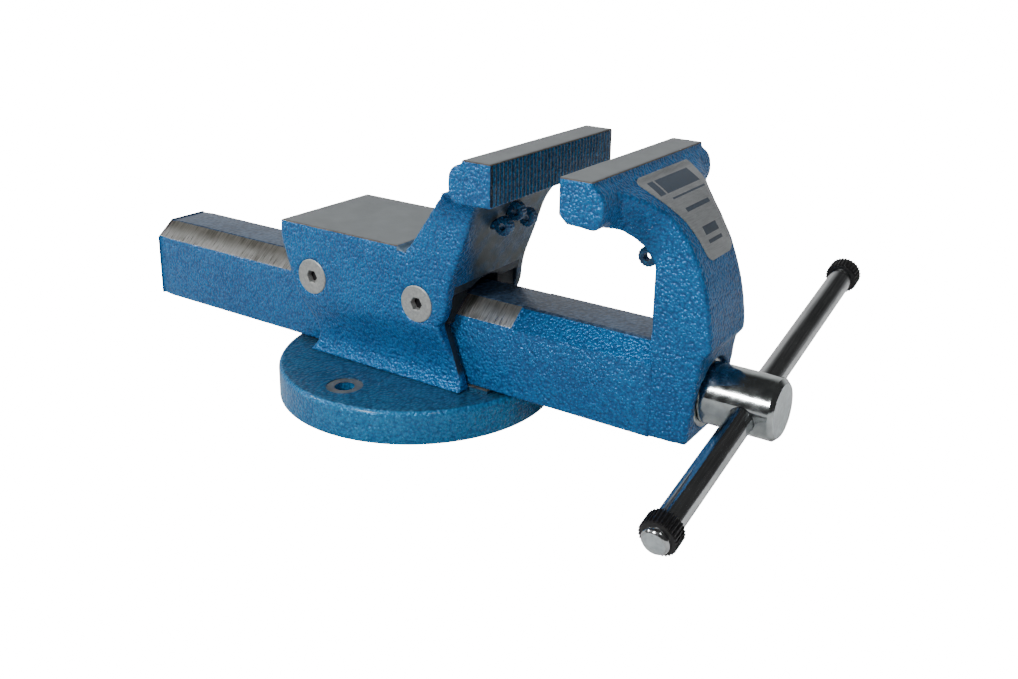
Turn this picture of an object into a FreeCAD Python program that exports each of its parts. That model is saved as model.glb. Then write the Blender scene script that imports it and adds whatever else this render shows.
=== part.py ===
import FreeCAD, Part
import math
import os
import Sketcher
from FreeCAD import Placement, Rotation, Vector

# Forged bench vise. Origin: centre of the round base's underside.
# +X runs towards the moving jaw and its handle, +Z is up, Y is along the jaws.
# Millimetres. The jaws stand open by jaw_opening.

SIZES = [
    ("base_diameter", 192.0, "round base flange"),
    ("base_thickness", 22.5, "round base flange"),
    ("base_edge_round", 4.0, "rounded upper rim of the base"),
    ("bolt_spacing", 144.0, "between the two bench bolt holes, along Y"),
    ("bolt_line_x", -4.0, "X station of the bench bolt holes"),
    ("bolt_hole_diameter", 13.0, "for M12 bench bolts"),
    ("spot_face_diameter", 24.0, "flat for the bolt washer"),
    ("spot_face_depth", 0.6, "flat for the bolt washer"),
    ("pad_height", 2.5, "machined slideway pad on the base"),
    ("pad_width", 61.0, "machined slideway pad on the base"),
    ("pad_side_gap", 0.15, "between the slideway pad and the foot round it"),
    ("pad_rear", -64.0, "rear end of the slideway pad"),
    ("pad_front", 80.0, "front end of the slideway pad"),
    ("slide_clearance", 0.2, "between the slide bar and its ways"),
    ("bar_width", 57.8, "slide bar"),
    ("bar_height", 57.3, "slide bar"),
    ("bar_flat_width", 30.0, "flat top of the slide bar between its chamfers"),
    ("bar_chamfer_height", 11.4, "slide bar's guide chamfers"),
    ("bar_wall", 12.0, "side walls of the slide bar"),
    ("bar_roof", 14.0, "top wall of the slide bar"),
    ("bar_rear", -235.0, "rear end of the slide bar"),
    ("spindle_rise", 25.8, "spindle axis above the slide bar's underside"),
    ("body_width", 88.0, "fixed body, across its flat sides"),
    ("body_waist_cut", 6.5, "depth of the hollow low on each side"),
    ("foot_rear", -66.0, "rear end of the foot on the base"),
    ("foot_front", 66.0, "front end of the foot on the base"),
    ("anvil_rear", -84.5, "rear end of the anvil"),
    ("anvil_front", 18.0, "front end of the anvil"),
    ("anvil_rise", 32.5, "anvil above the slide bar's top"),
    ("jaw_rise", 70.5, "jaw tops above the anvil"),
    ("jaw_face_x", 109.0, "fixed jaw's gripping face"),
    ("jaw_width", 140.0, "both jaws, along Y"),
    ("jaw_opening", 44.0, "between the gripping faces as modelled"),
    ("jaw_top_depth", 21.0, "ground top of each jaw, along X"),
    ("fixed_belly_depth", 31.0, "thickest part of the fixed jaw, along X"),
    ("moving_belly_depth", 28.6, "thickest part of the moving jaw, along X"),
    ("jaw_depth", 26.0, "gripping face, from top to bottom"),
    ("throat_depth", 40.0, "moving arm's inner face behind its gripping face"),
    ("arm_reach", 76.8, "moving arm's front behind its gripping face"),
    ("arm_draft", 2.6, "narrowing of each side of the moving arm towards its front"),
    ("tunnel_gap", 1.8, "beside the slide bar, in the body's tunnel"),
    ("gib_pocket_width", 72.0, "tunnel across the guide gibs"),
    ("gib_height", 20.0, "guide gib"),
    ("gib_inner_half", 17.0, "from the centre plane to a gib's inner side"),
    ("gib_drop", 15.5, "gib's underside below the slide bar's top"),
    ("gib_inset", 2.0, "gib ends inside the tunnel mouths"),
    ("tunnel_mouth_rear", -78.0, "rear reach of the gibs' pocket"),
    ("tunnel_mouth_front", 56.0, "front reach of the gibs' pocket"),
    ("arch_rise", 4.0, "arched tunnel roof above the gibs"),
    ("gib_screw_rear", -57.6, "rear pair of gib screws"),
    ("gib_screw_front", 33.0, "front pair of gib screws"),
    ("gib_screw_drop", 4.0, "gib screw axis below the slide bar's top"),
    ("gib_screw_head", 24.6, "countersunk head diameter"),
    ("gib_screw_shank", 12.0, "M12 thread, modelled plain"),
    ("gib_screw_length", 14.6, "overall"),
    ("gib_screw_hex", 8.0, "across the flats of the socket"),
    ("head_seat_gap", 0.4, "round a countersunk head, radially"),
    ("spindle_diameter", 24.0, "trapezoidal thread, modelled plain"),
    ("spindle_rear", -226.0, "rear end of the spindle"),
    ("journal_diameter", 28.0, "spindle in its bush"),
    ("running_gap", 0.3, "radial, round the spindle and the handle bar"),
    ("spindle_head_diameter", 37.8, "spindle head outside the jaw"),
    ("spindle_head_length", 46.0, "spindle head outside the jaw"),
    ("spindle_head_chamfer", 2.6, "spindle head's outer edge"),
    ("handle_hole_setback", 18.4, "handle axis behind the head's end face"),
    ("bush_diameter", 36.0, "outside of the bronze bush"),
    ("thrust_washer_diameter", 43.5, "ring seat under the spindle head"),
    ("thrust_washer_thickness", 2.6, "ring seat under the spindle head"),
    ("washer_seat_gap", 0.6, "round the ring seat, radially"),
    ("seat_from_throat", 24.5, "ring seat's floor in front of the throat face"),
    ("face_gap", 0.3, "between faces that turn on each other"),
    ("inner_washer_diameter", 31.0, "washer behind the arm"),
    ("inner_washer_thickness", 2.5, "washer behind the arm"),
    ("collar_diameter", 31.0, "retaining collar behind the arm"),
    ("collar_length", 15.0, "retaining collar behind the arm"),
    ("collar_side_gap", 1.0, "radial, between the collar and the inside of the slide bar"),
    ("collar_pin_diameter", 5.0, "spring pin through collar and spindle"),
    ("nut_length", 60.0, "spindle nut, along X"),
    ("nut_rear", -62.0, "rear end of the spindle nut"),
    ("nut_side_gap", 1.2, "between the nut and the bar's walls"),
    ("nut_top_wall", 5.0, "nut above its bore"),
    ("nut_roof_gap", 0.4, "least, between the nut and the roof of the slide bar"),
    ("nut_screw_spacing", 36.0, "between the nut's two cap screws"),
    ("nut_screw_diameter", 8.0, "M8 cap screws"),
    ("nut_screw_head_diameter", 13.0, "M8 cap screws"),
    ("nut_screw_head_height", 8.0, "M8 cap screws"),
    ("nut_screw_depth", 9.0, "thread taken up in the nut"),
    ("nut_screw_recess", 1.5, "screw heads above the base's underside"),
    ("handle_diameter", 16.0, "handle bar"),
    ("handle_length", 302.0, "handle bar"),
    ("handle_shift", 22.8, "handle bar's middle from the spindle axis"),
    ("handle_angle", 12.2, "handle bar above level, degrees"),
    ("handle_chamfer", 1.5, "ends of the handle bar"),
    ("grip_diameter", 22.0, "ribbed rubber ring on each end of the handle"),
    ("grip_length", 11.5, "ribbed rubber ring on each end of the handle"),
    ("grip_setback", 3.5, "rubber ring from the handle's end"),
    ("grip_chamfer", 1.2, "rubber ring's edges"),
    ("pipe_stud_diameter", 13.0, "toothed ring of a pipe jaw stud"),
    ("pipe_stud_bore", 5.0, "hole in the toothed ring"),
    ("pipe_stud_thickness", 6.0, "toothed ring, along Y"),
    ("pipe_stud_shank", 6.0, "shank pressed into the jaw"),
    ("pipe_stud_drop", 53.5, "outer studs below the jaw tops"),
    ("pipe_stud_spread", 13.5, "outer studs from the centre plane"),
    ("pipe_stud_step", 7.0, "middle stud above the outer pair"),
    ("pipe_stud_setback", 29.0, "stud rings behind the gripping faces"),
    ("pipe_stud_grip", 20.0, "shank inside the jaw"),
    ("stud_seat_gap", 0.3, "round a stud's ring where the jaw comes up to it"),
    ("label_thickness", 0.3, "foil label on the moving arm"),
    ("label_offset", 4.5, "foil label's centre, along Y"),
]

doc = FreeCAD.newDocument("BenchVise")
sheet = doc.addObject("Spreadsheet::Sheet", "Sizes")
for row, (alias, value, meaning) in enumerate(SIZES, start=1):
    sheet.set(f"A{row}", meaning)
    sheet.set(f"B{row}", str(value))
    sheet.setAlias(f"B{row}", alias)
doc.recompute()


def cell(text):
    """Expression text in which each size name refers to the sheet."""
    words = []
    for word in text.replace("(", "( ").replace(")", " )").split():
        words.append(f"Sizes.{word}" if word in NAMES else word)
    return " ".join(words)


def number(text):
    """Value in millimetres, or degrees, of an expression."""
    return float(sheet.evalExpression(cell(text)))


NAMES = {alias for alias, value, meaning in SIZES}

# Heights and stations that several pieces share, as expressions of the sizes.
WAY_TOP = "( base_thickness + pad_height )"
BAR_BOTTOM = f"( {WAY_TOP} + slide_clearance )"
BAR_TOP = f"( {BAR_BOTTOM} + bar_height )"
BAR_SHOULDER = f"( {BAR_TOP} - bar_chamfer_height )"
SPINDLE_Z = f"( {BAR_BOTTOM} + spindle_rise )"
ANVIL_Z = f"( {BAR_TOP} + anvil_rise )"
JAW_TOP = f"( {ANVIL_Z} + jaw_rise )"
JAW_BOTTOM = f"( {JAW_TOP} - jaw_depth )"
MOVING_FACE = "( jaw_face_x + jaw_opening )"
THROAT_X = f"( {MOVING_FACE} + throat_depth )"
ARM_FRONT = f"( {MOVING_FACE} + arm_reach )"
SEAT_X = f"( {THROAT_X} + seat_from_throat )"
HEAD_REAR = f"( {SEAT_X} + thrust_washer_thickness + face_gap )"
HEAD_FRONT = f"( {HEAD_REAR} + spindle_head_length )"
HANDLE_X = f"( {HEAD_FRONT} - handle_hole_setback )"
GIB_BOTTOM = f"( {BAR_TOP} - gib_drop )"
GIB_TOP = f"( {GIB_BOTTOM} + gib_height )"
GIB_SCREW_Z = f"( {BAR_TOP} - gib_screw_drop )"
BODY_SIDE = "( body_width / 2 )"
TUNNEL_HALF = "( bar_width / 2 + tunnel_gap )"
CAVITY_HALF = "( bar_width / 2 - bar_wall )"
NUT_TOP = f"( {SPINDLE_Z} + spindle_diameter / 2 + nut_top_wall )"
COLLAR_FRONT = f"( {THROAT_X} - face_gap - inner_washer_thickness )"
COLLAR_REAR = f"( {COLLAR_FRONT} - collar_length )"
COLLAR_MIDDLE = f"( {COLLAR_FRONT} - collar_length / 2 )"


# ---------------------------------------------------------------- sketches

def new_body(label):
    body = doc.addObject("PartDesign::Body", label)
    body.Label = label
    return body


def sketch_on(body, role, name, offset="0"):
    """Empty sketch on one of the body's origin planes, moved along its normal."""
    sketch = body.newObject("Sketcher::SketchObject", name)
    planes = [item for item in body.Origin.OriginFeatures if item.Role == role]
    sketch.AttachmentSupport = (planes[0], [""])
    sketch.MapMode = "FlatFace"
    sketch.setExpression(".AttachmentOffset.Base.z", cell(offset))
    return sketch


def bind(sketch, kind, first, second, text):
    """Distance of a geometry point from the sketch origin, bound to a size."""
    axis_line = {"DistanceX": -2, "DistanceY": -1}[kind]
    if abs(number(text)) < 1e-9:
        sketch.addConstraint(Sketcher.Constraint("PointOnObject", first, second, axis_line))
        return
    index = sketch.addConstraint(
        Sketcher.Constraint(kind, -1, 1, first, second, number(text)))
    sketch.setExpression(f"Constraints[{index}]", cell(text))


def draw_polygon(sketch, corners):
    """Closed outline through corners given as pairs of expressions."""
    points = [Vector(number(u), number(v), 0) for u, v in corners]
    count = len(points)
    lines = [
        sketch.addGeometry(Part.LineSegment(points[i], points[(i + 1) % count]), False)
        for i in range(count)
    ]
    for i, line in enumerate(lines):
        sketch.addConstraint(
            Sketcher.Constraint("Coincident", line, 2, lines[(i + 1) % count], 1))
    for line, (u, v) in zip(lines, corners):
        bind(sketch, "DistanceX", line, 1, u)
        bind(sketch, "DistanceY", line, 1, v)


def draw_circle(sketch, u, v, diameter):
    """Circle with its centre and diameter given as expressions."""
    centre = Vector(number(u), number(v), 0)
    circle = sketch.addGeometry(
        Part.Circle(centre, Vector(0, 0, 1), number(diameter) / 2), False)
    bind(sketch, "DistanceX", circle, 3, u)
    bind(sketch, "DistanceY", circle, 3, v)
    index = sketch.addConstraint(
        Sketcher.Constraint("Diameter", circle, number(diameter)))
    sketch.setExpression(f"Constraints[{index}]", cell(diameter))


def add_pad(body, sketch, length, midplane=False, reverse=False):
    pad = body.newObject("PartDesign::Pad", "Pad")
    pad.Profile = sketch
    pad.setExpression("Length", cell(length))
    pad.Midplane = midplane
    pad.Reversed = reverse
    doc.recompute()
    return pad


def add_pocket(body, sketch, length=None, midplane=False, reverse=False):
    """Pocket of a given length, or through everything; it must remove metal."""
    before = body.Shape.Volume
    pocket = body.newObject("PartDesign::Pocket", "Pocket")
    pocket.Profile = sketch
    if length is None:
        pocket.Type = "ThroughAll"
    else:
        pocket.setExpression("Length", cell(length))
    pocket.Midplane = midplane
    pocket.Reversed = reverse
    doc.recompute()
    if body.Shape.Volume >= before - 1e-6:
        raise RuntimeError(f"{body.Label}: {sketch.Label} cuts nothing")
    return pocket


def add_revolution(body, sketch):
    turned = body.newObject("PartDesign::Revolution", "Revolution")
    turned.Profile = sketch
    turned.ReferenceAxis = (sketch, ["H_Axis"])
    turned.Angle = 360
    doc.recompute()
    return turned


def edge_names(shape, accept):
    """Names of the edges that accept() picks, for a fillet or a chamfer."""
    return [f"Edge{i + 1}" for i, edge in enumerate(shape.Edges) if accept(edge)]


def round_edges(body, accept, radius):
    """Fillet on the edges of the body's tip that accept() picks."""
    tip = body.Tip
    names = edge_names(tip.Shape, accept)
    fillet = body.newObject("PartDesign::Fillet", "Fillet")
    fillet.Base = (tip, names)
    fillet.setExpression("Radius", cell(radius))
    doc.recompute()


def bevel_ends(body, size):
    """Chamfer on every circular edge of the body's tip."""
    tip = body.Tip
    names = edge_names(tip.Shape, lambda edge: edge.Curve.TypeId == "Part::GeomCircle")
    chamfer = body.newObject("PartDesign::Chamfer", "Chamfer")
    chamfer.Base = (tip, names)
    chamfer.setExpression("Size", cell(size))
    doc.recompute()


def at(body, x="0", y="0", z="0"):
    """Place a body by expressions."""
    for axis, text in zip("xyz", (x, y, z)):
        body.setExpression(f".Placement.Base.{axis}", cell(text))
    doc.recompute()
    return body


def ring(label, outer, inner, rear, front):
    """Turned ring about the spindle axis, between two X stations."""
    body = new_body(label)
    sketch = sketch_on(body, "XZ_Plane", f"{label}_section")
    draw_polygon(sketch, [
        (rear, f"{inner} / 2"), (front, f"{inner} / 2"),
        (front, f"{outer} / 2"), (rear, f"{outer} / 2"),
    ])
    add_revolution(body, sketch)
    return at(body, z=SPINDLE_Z)


# ---------------------------------------------------------------- forgings

def in_xz(u, v):
    return Vector(u, 0, v)


def in_yz(u, v):
    return Vector(0, u, v)


def slab(runs, plane, depth):
    """Solid from a closed outline, spread evenly to both sides of its plane.

    Each run is a list of points: two make a straight edge and more make one
    smooth curve. Each run starts where the last one ended.
    """
    edges = []
    for run in runs:
        points = [plane(number(u), number(v)) for u, v in run]
        if len(points) == 2:
            edges.append(Part.makeLine(points[0], points[1]))
        else:
            curve = Part.BSplineCurve()
            curve.interpolate(points)
            edges.append(curve.toShape())
    face = Part.Face(Part.Wire(edges))
    return spread(face, depth)


def spread(face, depth):
    normal = face.normalAt(0, 0).normalize()
    face.translate(normal * (-depth / 2))
    return face.extrude(normal * depth)


def feature(label, shape, placement=None):
    """Document object that holds a shape made with Part's own functions."""
    item = doc.addObject("Part::Feature", label)
    item.Label = label
    item.Shape = shape
    if placement is not None:
        item.Placement = placement
    return item


def jaw_head(face, way, belly, corner):
    """Jaw bar along Y: way is +1 where the metal lies towards +X of its face."""
    def out(depth, drop):
        return (f"{face} + ( {way} ) * ( {depth} )", f"{JAW_TOP} - ( {drop} )")
    heel = out(f"{belly} - 6", "jaw_depth + 1")
    runs = [
        [out("0", "0"), out("jaw_top_depth", "0")],
        [out("jaw_top_depth", "0"), out("jaw_top_depth + 0.4", "3")],
        [out("jaw_top_depth + 0.4", "3"), out(f"{belly} - 4.6", "4.5"),
         out(f"{belly} - 2", "7.2"), out(f"{belly} - 0.6", "11.2"), out(belly, "16"),
         out(f"{belly} - 1", "20.8"), out(f"{belly} - 3", "24.6"), heel],
        [heel, out(corner, "jaw_depth")],
        [out(corner, "jaw_depth"), out("0", f"jaw_depth - {corner}")],
        [out("0", f"jaw_depth - {corner}"), out("0", "0")],
    ]
    return slab(runs, in_xz, number("jaw_width"))


def side_blocks(stations):
    """Metal to take off both sides of an arm that changes width along its length.

    Each station is (inner point, outer point, inner half width, outer half width),
    with the points as (x, z) in millimetres: the arm's side runs straight between
    them, and on past both, and smoothly from one station to the next.
    """
    blocks = []
    for side in (1, -1):
        rails = []
        for share in (-0.4, 1.4):
            rails.append([
                Vector(inner[0] + (outer[0] - inner[0]) * share,
                       side * (inner_half + (outer_half - inner_half) * share),
                       inner[1] + (outer[1] - inner[1]) * share)
                for inner, outer, inner_half, outer_half in stations
            ])
        steps = [0.0]
        for i in range(1, len(stations)):
            gap = sum((rail[i] - rail[i - 1]).Length for rail in rails)
            steps.append(steps[-1] + gap)
        edges = []
        for rail in rails:
            curve = Part.BSplineCurve()
            curve.interpolate(Points=rail, Parameters=steps)
            edges.append(curve.toShape())
        block = Part.makeRuledSurface(edges[0], edges[1]).extrude(Vector(0, side * 90.0, 0))
        if block.Volume < 0:
            block.reverse()
        blocks.append(block)
    return blocks


def flared(stations, half, edge):
    """Stations in millimetres, their half widths given as shares of the flare.

    A share of 0 is the arm's own half width and 1 is the jaw's.
    """
    rise = number(edge) - number(half)
    return [
        ((number(inner[0]), number(inner[1])), (number(outer[0]), number(outer[1])),
         number(half) + rise * inner_share, number(half) + rise * outer_share)
        for inner, outer, inner_share, outer_share in stations
    ]


def cylinder(start, direction, radius, length):
    return Part.makeCylinder(radius, length, start, direction)


def along_x(x, y, z, diameter, length):
    start = Vector(number(x), number(y), number(z))
    return cylinder(start, Vector(1, 0, 0), number(diameter) / 2, number(length))


def gib_screw_places():
    """Side (+1 or -1) and X station of each of the four gib screws."""
    stations = (number("gib_screw_rear"), number("gib_screw_front"))
    return [(side, station) for side in (1, -1) for station in stations]


def countersunk(side, station, growth, length):
    """Countersunk screw shape, its head flush with the body's side."""
    surface = number(BODY_SIDE)
    axis = Vector(0, -side, 0)
    start = Vector(station, side * surface, number(GIB_SCREW_Z))
    head = number("gib_screw_head") / 2 + growth
    shank = number("gib_screw_shank") / 2 + growth
    rim = 0.6
    cone = head - shank
    parts = [
        cylinder(start, axis, head, rim),
        Part.makeCone(head, shank, cone, start + axis * rim, axis),
        cylinder(start, axis, shank, length),
    ]
    return parts[0].fuse(parts[1:]).removeSplitter()


def stud_places(face, way, ys):
    """Centre of each pipe stud's ring on the jaw whose gripping face is given."""
    x = number(face) + way * number("pipe_stud_setback")
    low = number(JAW_TOP) - number("pipe_stud_drop")
    step = number("pipe_stud_step")
    return [Vector(x, y, low + (step if y == 0 else 0)) for y in ys]


def stud(centre, way):
    """Toothed ring across Y with a shank that runs back into the jaw."""
    ring_radius = number("pipe_stud_diameter") / 2
    thickness = number("pipe_stud_thickness")
    start = centre - Vector(0, thickness / 2, 0)
    body = cylinder(start, Vector(0, 1, 0), ring_radius, thickness)
    shank = cylinder(centre, Vector(way, 0, 0), number("pipe_stud_shank") / 2,
                     number("pipe_stud_grip + pipe_stud_diameter / 2"))
    bore = cylinder(start - Vector(0, 5, 0), Vector(0, 1, 0),
                    number("pipe_stud_bore") / 2, thickness + 10)
    return body.fuse(shank).cut(bore)


def stud_hole(centre, way):
    return cylinder(centre, Vector(way, 0, 0), number("pipe_stud_shank") / 2,
                    number("pipe_stud_grip + pipe_stud_diameter / 2"))


def stud_seat(centre):
    """Room that a stud's ring needs where the jaw's metal comes up to it."""
    gap = number("stud_seat_gap")
    thickness = number("pipe_stud_thickness") + 2 * gap
    return cylinder(centre - Vector(0, thickness / 2, 0), Vector(0, 1, 0),
                    number("pipe_stud_diameter") / 2 + gap, thickness)


def fixed_jaw():
    """Forged body: foot, tunnel for the slide bar, anvil, arm and fixed jaw."""
    foot = "base_thickness"
    face = "jaw_face_x"
    rear_foot = ("foot_rear", foot)
    rear_anvil = ("anvil_rear", ANVIL_Z)
    groove = ("anvil_front + 3", f"{ANVIL_Z} - 3")
    arm_start = ("anvil_front + 7.5", f"{ANVIL_Z} - 1.5")
    behind_jaw = (f"{face} - 29", f"{JAW_TOP} - 20.5")
    under_jaw = (f"{face} - 15", JAW_BOTTOM)
    arm_rear = [
        (f"{face} - 77.5", f"{JAW_TOP} - 63.7"), (f"{face} - 71.9", f"{JAW_TOP} - 55.4"),
        (f"{face} - 67", f"{JAW_TOP} - 48.2"), (f"{face} - 60.7", f"{JAW_TOP} - 40.3"),
        (f"{face} - 54", f"{JAW_TOP} - 33.2"), (f"{face} - 48", f"{JAW_TOP} - 28.8"),
        (f"{face} - 42", f"{JAW_TOP} - 25"), (f"{face} - 35", f"{JAW_TOP} - 22"), behind_jaw,
    ]
    arm_front = [
        under_jaw, (f"{face} - 22.5", f"{JAW_BOTTOM} - 5.5"),
        (f"{face} - 28", f"{JAW_BOTTOM} - 11"), (f"{face} - 32.5", f"{JAW_BOTTOM} - 18.5"),
        (f"{face} - 36", f"{JAW_BOTTOM} - 26.5"), (f"{face} - 40.5", f"{JAW_BOTTOM} - 39.5"),
        (f"{face} - 45", f"{JAW_BOTTOM} - 51.5"), (f"{face} - 51", f"{JAW_BOTTOM} - 69.5"),
        (f"{face} - 54", f"{JAW_BOTTOM} - 86.5"),
    ]
    front_waist = (f"{face} - 59", f"{ANVIL_Z} - 49")
    front_foot = ("foot_front", foot)
    outline = [
        [rear_foot, ("foot_rear + 6.5", f"{foot} + 12"),
         ("anvil_rear + 15", f"{ANVIL_Z} - 56"), ("anvil_rear + 1.5", f"{ANVIL_Z} - 22"),
         ("anvil_rear - 1.5", f"{ANVIL_Z} - 10"), rear_anvil],
        [rear_anvil, ("anvil_front", ANVIL_Z)],
        [("anvil_front", ANVIL_Z), groove],
        [groove, arm_start],
        [arm_start] + arm_rear,
        [behind_jaw, under_jaw],
        arm_front + [front_waist],
        [front_waist, ("foot_front - 1.5", f"{foot} + 4.5")],
        [("foot_front - 1.5", f"{foot} + 4.5"), front_foot],
        [front_foot, rear_foot],
    ]
    body = slab(outline, in_xz, number("body_width"))
    body = body.cut(side_hollows())
    low = Part.makeBox(600, 300, number(f"{JAW_TOP} - 54"), Vector(-300, -150, 0))
    flare = slab(outline, in_xz, number("jaw_width")).cut(low)
    stations = flared([
        (arm_rear[0], arm_front[5], -0.14, -0.14), (arm_rear[1], arm_front[4], -0.06, -0.06),
        (arm_rear[2], arm_front[3], 0.0, 0.03), (arm_rear[3], arm_front[2], 0.08, 0.14),
        (arm_rear[4], arm_front[1], 0.23, 0.36), (arm_rear[5], under_jaw, 0.46, 0.62),
        (arm_rear[6], (f"{face} - 8", f"{JAW_BOTTOM} + 3"), 0.72, 0.9),
        (arm_rear[7], (f"{face} - 2", f"{JAW_BOTTOM} + 6"), 1.05, 1.2),
        (behind_jaw, (f"{face} + 2", f"{JAW_BOTTOM} + 9"), 1.4, 1.5),
    ], BODY_SIDE, "jaw_width / 2")
    for block in side_blocks(stations):
        flare = flare.cut(block)
    body = body.fuse(flare)
    body = body.fuse(jaw_head(face, -1, "fixed_belly_depth", "0.6"))
    body = body.cut([tunnel(), pad_room()] + [
        countersunk(side, station, number("head_seat_gap"), number("gib_screw_length"))
        for side, station in gib_screw_places()
    ])
    studs = stud_places(face, -1, rear_stud_rows())
    body = body.cut([stud_hole(centre, -1) for centre in studs])
    body = body.cut([stud_seat(centre) for centre in studs])
    return feature("fixed_jaw", body.removeSplitter())


def side_hollows():
    """Long hollow low on each side of the body, just above its foot."""
    length = number("base_diameter * 2")
    pieces = []
    for way in ("1", "-1"):
        def out(text):
            return f"( {way} ) * ( {text} )"
        bottom = (out(f"{BODY_SIDE} - 3"), "base_thickness")
        top = (out(BODY_SIDE), "base_thickness + 42")
        far = f"{BODY_SIDE} + 60"
        pieces.append(slab([
            [bottom, (out(f"{BODY_SIDE} - body_waist_cut"), "base_thickness + 17"),
             (out(f"{BODY_SIDE} - body_waist_cut * 0.4"), "base_thickness + 32"), top],
            [top, (out(far), "base_thickness + 42")],
            [(out(far), "base_thickness + 42"), (out(far), "base_thickness")],
            [(out(far), "base_thickness"), bottom],
        ], in_yz, length))
    return pieces


def tunnel():
    """Way for the slide bar, with a pocket for the gibs under an arched roof."""
    pocket = "gib_pocket_width / 2"
    inner = "gib_inner_half"
    floor = "base_thickness - 1"
    crown = f"{GIB_TOP} + arch_rise"
    length = number("base_diameter * 2")
    return slab([
        [(f"-1 * {TUNNEL_HALF}", floor), (TUNNEL_HALF, floor)],
        [(TUNNEL_HALF, floor), (TUNNEL_HALF, GIB_BOTTOM)],
        [(TUNNEL_HALF, GIB_BOTTOM), (pocket, GIB_BOTTOM)],
        [(pocket, GIB_BOTTOM), (pocket, GIB_TOP)],
        [(pocket, GIB_TOP), (inner, GIB_TOP)],
        [(inner, GIB_TOP), ("0", crown), (f"-1 * {inner}", GIB_TOP)],
        [(f"-1 * {inner}", GIB_TOP), (f"-1 * {pocket}", GIB_TOP)],
        [(f"-1 * {pocket}", GIB_TOP), (f"-1 * {pocket}", GIB_BOTTOM)],
        [(f"-1 * {pocket}", GIB_BOTTOM), (f"-1 * {TUNNEL_HALF}", GIB_BOTTOM)],
        [(f"-1 * {TUNNEL_HALF}", GIB_BOTTOM), (f"-1 * {TUNNEL_HALF}", floor)],
    ], in_yz, length)


def pad_room():
    """Space that the foot leaves round the base's slideway pad."""
    half = number("pad_width / 2 + pad_side_gap")
    rear = number("pad_rear - pad_side_gap")
    length = number("pad_front - pad_rear + 2 * pad_side_gap")
    return Part.makeBox(length, 2 * half, number("pad_height") + 0.1,
                        Vector(rear, -half, number("base_thickness")))


def rear_stud_rows():
    spread_y = number("pipe_stud_spread")
    return (-spread_y, 0, spread_y)


def front_stud_rows():
    spread_y = number("pipe_stud_spread")
    return (-spread_y, spread_y)


def arm_front_points():
    """Front of the moving arm, from under its jaw down to its widest reach."""
    face = MOVING_FACE
    return [
        (f"{face} + jaw_top_depth + 0.4", f"{JAW_TOP} - 5.5"),
        (f"{face} + arm_reach * 0.547", f"{JAW_TOP} - 17.5"),
        (f"{face} + arm_reach * 0.76", f"{JAW_TOP} - 35.7"),
        (f"{face} + arm_reach * 0.892", f"{JAW_TOP} - 55.7"),
        (ARM_FRONT, f"{JAW_TOP} - 95"),
    ]


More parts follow.
